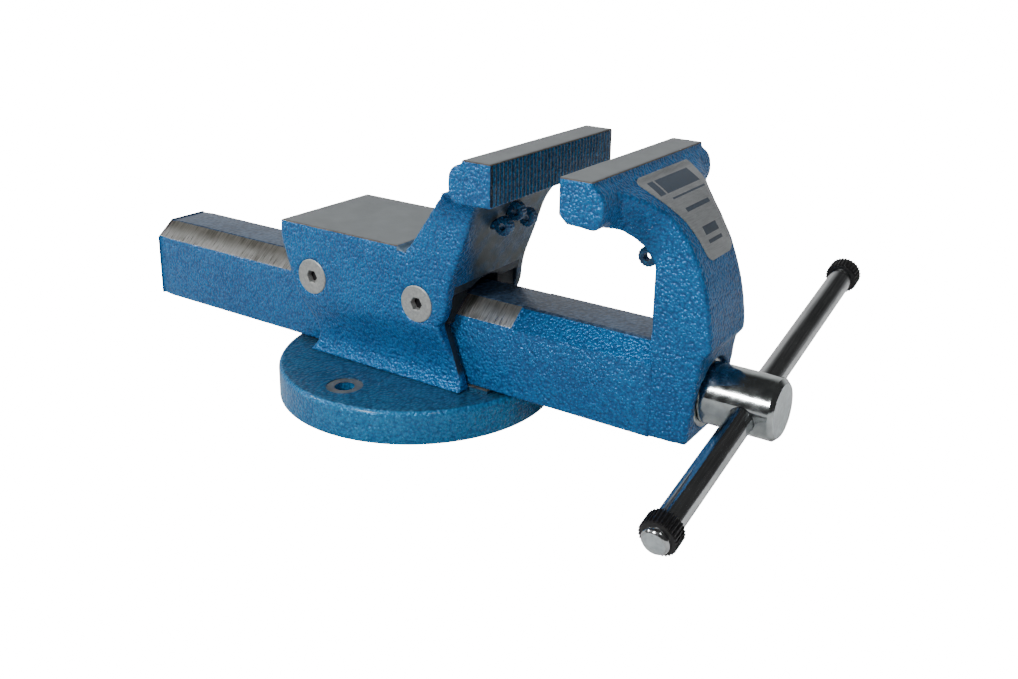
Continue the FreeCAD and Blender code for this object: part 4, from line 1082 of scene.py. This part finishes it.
@dataclass
class SlideBar:
    """Chamfered bar, hollow and open underneath, that carries the moving jaw."""

    vise: Vise
    half: float = 28.93 * MM
    flat: float = 15.0 * MM
    chamfer: float = 11.4 * MM
    inner: float = 16.9 * MM
    roof: float = 14.0 * MM
    bottom: float = 25.2 * MM
    rear: float = -235.0 * MM
    front: float = 195.0 * MM
    edge: float = 1.0 * MM

    def corners(self) -> list[tuple[float, float, float]]:
        """Corners of the section as Y, Z and rounding, in order."""
        top, low, e = self.vise.bar_top, self.bottom, self.edge
        ceiling = top - self.roof
        right = [(self.inner, low, 0.4 * MM), (self.half, low, e),
                 (self.half, top - self.chamfer, 0.7 * MM), (self.flat, top, 0.7 * MM)]
        left = [(-y, z, r) for y, z, r in reversed(right)]
        return right + left + [(-self.inner, ceiling, 3 * MM), (self.inner, ceiling, 3 * MM)]

    def section(self, x: float, shrink: float) -> Loop:
        """Rounded section at a station, drawn in by shrink."""
        corners = self.corners()
        count = len(corners)
        points = []
        for i, (y, z, radius) in enumerate(corners):
            here = Vector((y, z))
            before = Vector(corners[i - 1][:2])
            after = Vector(corners[(i + 1) % count][:2])
            to_before, to_after = (before - here).normalized(), (after - here).normalized()
            half_angle = to_before.angle(to_after) / 2
            reach = radius / math.tan(half_angle)
            start, end = here + to_before * reach, here + to_after * reach
            centre = here + (to_before + to_after).normalized() * radius / math.sin(half_angle)
            for step in range(5):
                mixed = start.lerp(end, step / 4) - centre
                point = centre + mixed.normalized() * radius
                points.append(point)
        drawn = []
        for i, point in enumerate(points):
            along = (points[(i + 1) % len(points)] - points[i - 1]).normalized()
            drawn.append(point + Vector((-along.y, along.x)) * shrink)
        return [(x, p.x, p.y) for p in drawn]

    def build(self) -> None:
        """Sweep the section from end to end, its rear edge rounded."""
        e = self.edge
        loops = []
        for step in range(5):
            a = math.pi / 2 * step / 4
            loops.append(self.section(self.rear + e * (1 - math.sin(a)), e * (1 - math.cos(a))))
        stations = np.linspace(self.rear + e, self.front, 40)[1:]
        loops += [self.section(float(x), 0.0) for x in stations]
        mesh = loft("slide_beam", [loops])
        smooth_by_angle(mesh)
        mount("slide_beam", mesh, Body.MOVING, Slot.PAINT, self.vise.palette.bar, "slide_bar")
        self.land()

    def land(self) -> None:
        """Stops where the milled chamfers end: a square shoulder of painted metal."""
        top, half, flat = self.vise.bar_top, self.half, self.flat
        shells = []
        rise = 0.55 * MM
        slope = Vector((self.chamfer, half - flat)).normalized() * rise
        for side in (1, -1):
            loops = []
            start = self.vise.bare_end + 2.0 * MM
            for x, lift in ((start, 0.0), (start + 0.25 * MM, 1.0), (self.front, 1.0)):
                y, z = slope.x * lift, slope.y * lift
                loops.append([
                    (x, side * (half - 1.2 * MM), top - self.chamfer - 0.6 * MM),
                    (x, side * (half + 0.1 * MM), top - self.chamfer + 0.1 * MM),
                    (x, side * (half + 0.1 * MM + y * 0.2), top - self.chamfer + z * 0.9),
                    (x, side * (flat + 0.6 * MM + y * 0.6), top + z * 0.35 - 0.2 * MM),
                    (x, side * (flat - 1.0 * MM), top - 0.4 * MM)])
            shells.append(loops)
        mesh = loft("chamfer_stops", shells)
        smooth_by_angle(mesh, 50)
        mount("chamfer_stops", mesh, Body.MOVING, Slot.PAINT, self.vise.palette.bar)


@dataclass
class MovingArm:
    """Forged arm with the front jaw, its label, washers and bush."""

    vise: Vise
    voxel: float = 1.15 * MM
    passes: int = 12

    def worn(self, points: np.ndarray) -> np.ndarray:
        """Share of the rounding that each point of the arm takes."""
        v = self.vise
        x, y, z = points.T
        share = fade(np.abs(z - v.jaw_top), 1.0 * MM, 3 * MM)
        share *= fade(np.abs(x - v.moving_face), -1.5 * MM, 5 * MM)
        ends = 0.14 + 0.86 * fade(70 * MM - np.abs(y), 3 * MM, 9 * MM)
        share *= np.where(z > 140 * MM, ends, 1.0)
        around = np.hypot(y, z - v.spindle_z)
        share *= fade(around, 23.2 * MM, 25.5 * MM)
        return share

    def build(self) -> None:
        """Make the arm and what is fixed to it."""
        v, paint = self.vise, self.vise.palette
        arm = forging("moving_jaw", "forged_arm", self.voxel, self.passes, self.worn)
        set_back(arm, v.moving_face, 0.5 * MM)
        mount("forged_arm", arm, Body.MOVING, Slot.PAINT, paint.forged, "moving_jaw")
        self.label(arm)
        grip_teeth(v, "moving_jaw_teeth", v.moving_face, Body.MOVING, 21.0 * MM)
        pipe_studs(v, "front_studs", Body.MOVING, "front_pipe_studs", v.moving_face + 29 * MM,
                   -1, [(-13.5 * MM, 132 * MM), (13.5 * MM, 132 * MM)])
        self.rings()

    def label(self, arm: bpy.types.Mesh) -> None:
        """Foil with rounded corners, laid on the front of the arm.

        Args:
            arm: The forging that it follows.
        """
        v = self.vise
        skin = BVHTree.FromPolygons([point.co for point in arm.vertices],
                                    [face.vertices for face in arm.polygons])
        heights = [-4.9, -8.0, -12.5, -27.5, -38.0, -47.0, -50.5]
        halves = [33.5, 35.0, 33.0, 22.5, 19.3, 17.4, 14.5]
        corner, thickness = 3.0 * MM, 0.3 * MM
        rows, columns = 64, 40
        top, bottom = heights[0] * MM, heights[-1] * MM
        front = np.zeros((rows + 1, columns + 1))
        places = []
        for i in range(rows + 1):
            drop = top + (bottom - top) * i / rows
            half = float(np.interp(-drop / MM, [-h for h in heights], halves)) * MM
            edge = min(top - drop, drop - bottom)
            if edge < corner:
                half -= corner - math.sqrt(corner ** 2 - (corner - edge) ** 2)
            line = []
            for j in range(columns + 1):
                y = v.label_y + half * (2 * j / columns - 1)
                hit = skin.ray_cast(Vector((0.4, y, v.jaw_top + drop)), Vector((-1, 0, 0)))[0]
                front[i, j] = hit.x if hit else v.moving_face
                line.append((y, v.jaw_top + drop))
            places.append(line)
        front[:2] = np.maximum(front[:2], front[2])
        for _ in range(3):
            padded = np.pad(front, ((1, 1), (0, 0)), mode="edge")
            front = np.maximum(front, (padded[:-2] + padded[2:] + 2 * front) / 4)
        bm = bmesh.new()
        grid = [[bm.verts.new((front[i, j] + 0.12 * MM, *places[i][j]))
                 for j in range(columns + 1)] for i in range(rows + 1)]
        for i in range(rows):
            for j in range(columns):
                bm.faces.new((grid[i][j], grid[i + 1][j], grid[i + 1][j + 1], grid[i][j + 1]))
        mesh = bpy.data.meshes.new("foil_label")
        bm.to_mesh(mesh)
        bm.free()
        sheet = new_object("foil_label_sheet", mesh)
        thick = sheet.modifiers.new("Thickness", "SOLIDIFY")
        thick.thickness = thickness
        thick.offset = 1.0
        graph = bpy.context.evaluated_depsgraph_get()
        foil = bpy.data.meshes.new_from_object(sheet.evaluated_get(graph))
        foil.name = "foil_label"
        bpy.data.objects.remove(sheet)
        smooth_by_angle(foil, 45)
        mount("foil_label", foil, Body.MOVING, Slot.FOIL, v.palette.foil, "label_plate")

    def rings(self) -> None:
        """Bush and washers round the spindle."""
        v, paint = self.vise, self.vise.palette
        frame = v.spindle_frame
        bore = 14.3 * MM
        rows = [("bronze_bush", "spindle_bush", 193.0, 217.5, 18.0, 0.3, Slot.BRONZE,
                 paint.bronze),
                ("ring_seat", "thrust_washer", 217.5, 220.1, 21.75, 0.5, Slot.PLATED,
                 paint.chrome),
                ("rear_washer", "inner_washer", 190.5, 193.0, 15.5, 0.3, Slot.STEEL,
                 paint.turned)]
        for name, node, rear, front, radius, e, slot, finish in rows:
            rear, front, radius, e = rear * MM, front * MM, radius * MM, e * MM
            mesh = turned(name, [(rear, bore), (rear, radius - e), (rear + e, radius),
                                 (front - e, radius), (front, radius - e), (front, bore)],
                          frame, 96, closed=True)
            smooth_by_angle(mesh)
            mount(name, mesh, Body.MOVING, slot, finish, node)


@dataclass
class Spindle:
    """Trapezoidal screw with its journal, cross-bored head, collar and pin."""

    vise: Vise
    pitch: float = 5.0 * MM
    crest: float = 12.0 * MM
    depth: float = 2.5 * MM
    rear: float = -226.0 * MM
    thread_end: float = 180.0 * MM
    head_radius: float = 18.9 * MM
    head_rear: float = 220.4 * MM
    head_front: float = 266.4 * MM

    def thread_loops(self) -> list[Loop]:
        """Loops of the threaded length, rippled along a helix."""
        loops = []
        frame = self.vise.spindle_frame
        around, per_turn = 40, 10
        steps = int((self.thread_end - self.rear) / self.pitch * per_turn)
        for k in range(steps + 1):
            x = self.rear + k * self.pitch / per_turn
            run_out = min(1.0, (self.thread_end - x) / self.pitch)
            lead_in = min(1.0, (x - self.rear) / (2 * MM))
            loop = []
            for i in range(around):
                a = math.tau * i / around
                phase = (x / self.pitch - i / around) % 1.0
                flank = min(max(abs(phase - 0.5) * 4 - 0.63, 0.0) / 0.73, 1.0)
                r = self.crest - self.depth * flank * max(run_out, 0.0)
                r -= 2 * MM * (1 - lead_in)
                loop.append(tuple(frame @ Vector((x, r * math.cos(a), r * math.sin(a)))))
            loops.append(loop)
        return loops

    def build(self) -> None:
        """Make the spindle with its collar and pin."""
        v, paint = self.vise, self.vise.palette
        frame = v.spindle_frame
        around = 40
        loops = self.thread_loops()
        for x, r in ((self.thread_end, 12.0), (190.2 * MM, 12.0), (190.2 * MM, 14.0),
                     (self.head_rear + 0.5 * MM, 14.0)):
            loops.append(circle(r * MM, x, frame, around))
        screw = loft("screw_and_journal", [loops])
        smooth_by_angle(screw, 38)
        mount("screw_and_journal", screw, Body.SPINDLE, Slot.STEEL, paint.turned)
        self.head(frame)
        collar = turned("retaining_ring", [(175.2 * MM, 12.0 * MM), (175.2 * MM, 14.9 * MM),
                                           (175.8 * MM, 15.5 * MM), (189.6 * MM, 15.5 * MM),
                                           (190.2 * MM, 14.9 * MM), (190.2 * MM, 12.0 * MM)],
                        frame, 64, closed=True)
        smooth_by_angle(collar)
        mount("retaining_ring", collar, Body.SPINDLE, Slot.STEEL, paint.turned,
              "retaining_collar")
        across = Matrix.Translation((182.7 * MM, 0, v.spindle_z)) @ Matrix.Rotation(
            v.handle_tilt, 4, "X") @ Matrix.Rotation(math.pi / 2, 4, "Z")
        pin = turned("spring_pin", [(-15.0 * MM, 1.9 * MM), (-14.4 * MM, 2.5 * MM),
                                    (14.4 * MM, 2.5 * MM), (15.0 * MM, 1.9 * MM)], across, 32)
        smooth_by_angle(pin)
        mount("spring_pin", pin, Body.SPINDLE, Slot.BLACK, paint.black, "collar_pin")

    def head(self, frame: Matrix) -> None:
        """Polished head, turned round and bored across for the handle bar."""
        r, rear, front = self.head_radius, self.head_rear, self.head_front
        profile = [(rear, r - 0.8 * MM), (rear + 0.25 * MM, r - 0.25 * MM), (rear + 0.8 * MM, r)]
        e = 2.6 * MM
        profile += [(rear + 2 * MM, r), (front - e - 0.15 * MM, r),
                    (front - e + 0.15 * MM, r - 0.15 * MM),
                    (front - 0.2 * MM, r - e + 0.25 * MM), (front, r - e)]
        mesh = turned("spindle_head", profile, frame, 128)
        head = new_object("spindle_head_blank", mesh)
        bore = turned("bore", [(-30 * MM, 8.3 * MM), (30 * MM, 8.3 * MM)],
                      self.vise.handle_frame, 64)
        tool = new_object("bore", bore)
        cut = head.modifiers.new("Bore", "BOOLEAN")
        cut.object = tool
        cut.solver = "EXACT"
        graph = bpy.context.evaluated_depsgraph_get()
        result = bpy.data.meshes.new_from_object(head.evaluated_get(graph))
        result.name = "spindle_head"
        bpy.data.objects.remove(head)
        bpy.data.objects.remove(tool)
        smooth_by_angle(result, 25)
        two_finishes(result, self.vise.palette.chrome, self.vise.palette.faced, frame)
        mount("spindle_head", result, Body.SPINDLE, Slot.PLATED, None, "spindle")


@dataclass
class Handle:
    """Sliding bar through the spindle head with a rubber ring near each end."""

    vise: Vise
    rear: float = -128.2 * MM
    front: float = 173.8 * MM
    radius: float = 8.0 * MM
    grip_radius: float = 11.0 * MM
    ribs: int = 30

    def build(self) -> None:
        """Make the bar and both rubber rings."""
        v, paint = self.vise, self.vise.palette
        frame, r = v.handle_frame, self.radius
        e = 1.5 * MM
        profile = [(self.rear, r - e), (self.rear + 0.2 * MM, r - e + 0.35 * MM),
                   (self.rear + e - 0.2 * MM, r - 0.12 * MM), (self.rear + e + 0.3 * MM, r)]
        profile += [(float(x), r) for x in np.linspace(self.rear + 4 * MM, self.front - 4 * MM, 24)]
        profile += [(self.front - e - 0.3 * MM, r), (self.front - e + 0.2 * MM, r - 0.12 * MM),
                    (self.front - 0.2 * MM, r - e + 0.35 * MM), (self.front, r - e)]
        bar = turned("handle_rod", profile, frame, 72)
        smooth_by_angle(bar, 40)
        two_finishes(bar, paint.drawn, paint.faced, frame)
        mount("handle_rod", bar, Body.HANDLE, Slot.PLATED, None, "handle_bar")
        for name, start, end in (("near", -124.7, -113.2), ("far", 158.8, 170.3)):
            self.grip(name, start * MM, end * MM)

    def grip(self, name: str, start: float, end: float) -> None:
        """One rubber ring with ribs along the bar."""
        v, paint = self.vise, self.vise.palette
        r, c = self.grip_radius - 0.55 * MM, 1.2 * MM
        core = turned(f"rubber_ring_{name}",
                      [(start, self.radius), (start, r - c), (start + 0.4 * MM, r - 0.3 * MM),
                       (start + c, r), (end - c, r), (end - 0.4 * MM, r - 0.3 * MM),
                       (end, r - c), (end, self.radius)], v.handle_frame, 96, closed=True)
        smooth_by_angle(core, 40)
        mount(f"rubber_ring_{name}", core, Body.HANDLE, Slot.RUBBER, paint.rubber,
              f"handle_grip_{name}")
        place = v.handle_frame @ Matrix.Translation(((start + end) / 2, 0, 0))
        ribs = v.ribs.run(f"rubber_ribs_{name}", paint.rubber, place, Count=self.ribs,
                          Radius=r, Width=1.3 * MM, Length=end - start - 1.6 * MM)
        smooth_by_angle(ribs, 50)
        mount(f"rubber_ribs_{name}", ribs, Body.HANDLE, Slot.RUBBER, None)


# ---------------------------------------------------------------- stage


@dataclass
class Studio:
    """Plain pale floor, soft lamps and the camera."""

    camera_place: Point = (0.44054, -0.54127, 0.31770)
    azimuth: float = 30.338
    elevation: float = 16.897
    roll: float = 2.026
    lens: float = 37.376
    shift: tuple[float, float] = (-0.06491, -0.09716)
    paper_glow: float = 16.0
    sky_even: float = 0.36
    sky_mirrored: tuple[float, float] = (0.05, 0.75)
    bright_side: Point = (-0.6, 1.0, -0.9)

    def build(self) -> None:
        """Make the floor, the lamps, the sky and the camera."""
        self.floor()
        self.sky()
        self.lamp("key", (-0.16, -1.2, 0.9), (0.1, 0.0, 0.08), 0.22, 17.5)
        self.lamp("side", (-1.15, -0.75, 0.75), (0.0, 0.0, 0.08), 0.16, 7.5)
        self.lamp("crest", (0.68, -0.54, 0.86), (0.2, 0.0, 0.12), 0.1, 1.6)
        self.lamp("fill", (1.0, -1.25, 0.2), (0.1, 0.0, 0.1), 0.6, 3.0, mirrored=False)
        self.lamp("top", (-0.45, 0.35, 1.5), (0.0, 0.0, 0.1), 0.9, 15.0, mirrored=False)
        self.camera()

    def look_at(self, place: Point, target: Point) -> Matrix:
        """Frame at a place whose -Z axis points at a target."""
        away = (Vector(place) - Vector(target)).to_track_quat("Z", "Y")
        return Matrix.Translation(place) @ away.to_matrix().to_4x4()

    def floor(self) -> None:
        """White floor, far wider than the view."""
        bm = bmesh.new()
        bmesh.ops.create_grid(bm, x_segments=2, y_segments=2, size=6.0)
        mesh = bpy.data.meshes.new("studio_floor")
        bm.to_mesh(mesh)
        bm.free()
        mesh.materials.append(self.paper())
        new_object("studio_floor", mesh)

    def paper(self) -> bpy.types.Material:
        """White paper lit from below, so that only a soft shadow is left on it."""
        material = bpy.data.materials.new("lit_white_paper")
        material.use_nodes = True
        tree = material.node_tree
        tree.nodes.clear()
        matte = add_node(tree, "ShaderNodeBsdfDiffuse", None,
                         {"Color": (0.62, 0.62, 0.62, 1.0), "Roughness": 1.0})
        white = add_node(tree, "ShaderNodeBsdfDiffuse", None, {"Color": (1.0, 1.0, 1.0, 1.0)})
        glow = add_node(tree, "ShaderNodeEmission", None, {"Strength": self.paper_glow})
        lit = add_node(tree, "ShaderNodeAddShader", None, {0: white.outputs[0],
                                                           1: glow.outputs[0]})
        path = add_node(tree, "ShaderNodeLightPath")
        mixed = add_node(tree, "ShaderNodeMixShader", None,
                         {0: path.outputs["Is Camera Ray"], 1: matte.outputs[0],
                          2: lit.outputs[0]})
        add_node(tree, "ShaderNodeOutputMaterial", None, {0: mixed.outputs[0]})
        return material

    def sky(self) -> None:
        """White surroundings: even on paint, and dark overhead and in front of polished metal."""
        world = bpy.data.worlds.new("white_room")
        world.use_nodes = True
        tree = world.node_tree
        tree.nodes.clear()
        even = add_node(tree, "ShaderNodeBackground", None, {"Strength": self.sky_even})
        toward = add_node(tree, "ShaderNodeTexCoord")
        across = add_node(tree, "ShaderNodeVectorMath", {"operation": "DOT_PRODUCT"},
                          {0: toward.outputs["Generated"], 1: self.bright_side})
        shade = add_node(tree, "ShaderNodeMapRange", {"interpolation_type": "SMOOTHSTEP"},
                         {"Value": across.outputs["Value"], "From Min": 0.05, "From Max": 0.8,
                          "To Min": self.sky_mirrored[0], "To Max": self.sky_mirrored[1]})
        mirrored = add_node(tree, "ShaderNodeBackground", None, {"Strength": shade.outputs[0]})
        seen = add_node(tree, "ShaderNodeBackground", None, {"Strength": self.paper_glow * 4})
        path = add_node(tree, "ShaderNodeLightPath")
        glossy = add_node(tree, "ShaderNodeMixShader", None,
                          {0: path.outputs["Is Glossy Ray"], 1: even.outputs[0],
                           2: mirrored.outputs[0]})
        mixed = add_node(tree, "ShaderNodeMixShader", None,
                         {0: path.outputs["Is Camera Ray"], 1: glossy.outputs[0],
                          2: seen.outputs[0]})
        for back in (even, mirrored, seen):
            back.inputs["Color"].default_value = (1.0, 1.0, 1.0, 1.0)
        add_node(tree, "ShaderNodeOutputWorld", None, {0: mixed.outputs[0]})
        bpy.context.scene.world = world

    def lamp(self, name: str, place: Point, target: Point, size: float,
             power: float, mirrored: bool = True) -> None:
        """Square soft lamp aimed at a point, which polished metal may mirror."""
        data = bpy.data.lights.new(name, "AREA")
        data.size = size
        data.energy = power
        lamp = bpy.data.objects.new(name, data)
        lamp.matrix_world = self.look_at(place, target)
        lamp.visible_glossy = mirrored
        bpy.context.scene.collection.objects.link(lamp)

    def camera(self) -> None:
        """Camera at the chosen viewing angle."""
        a, e, roll = (math.radians(v) for v in (self.azimuth, self.elevation, self.roll))
        back = Vector((math.sin(a) * math.cos(e), -math.cos(a) * math.cos(e), math.sin(e)))
        right = Vector((math.cos(a), math.sin(a), 0.0))
        up = back.cross(right)
        c, s = math.cos(roll), math.sin(roll)
        columns = (c * right + s * up, -s * right + c * up, back)
        data = bpy.data.cameras.new("camera")
        data.sensor_width = 36.0
        data.lens = self.lens
        data.shift_x, data.shift_y = self.shift
        data.clip_start = 0.02
        camera = bpy.data.objects.new("camera", data)
        camera.matrix_world = (Matrix.Translation(self.camera_place)
                               @ Matrix(columns).transposed().to_4x4())
        bpy.context.scene.collection.objects.link(camera)
        bpy.context.scene.camera = camera


def main() -> None:
    """Build the vise and its studio."""
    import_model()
    vise = Vise()
    for part in (Base(vise), FixedBody(vise), SlideBar(vise), MovingArm(vise), Spindle(vise),
                 Handle(vise)):
        log.info("building %s", type(part).__name__)
        part.build()
    Studio().build()


if __name__ == "__main__":
    main()
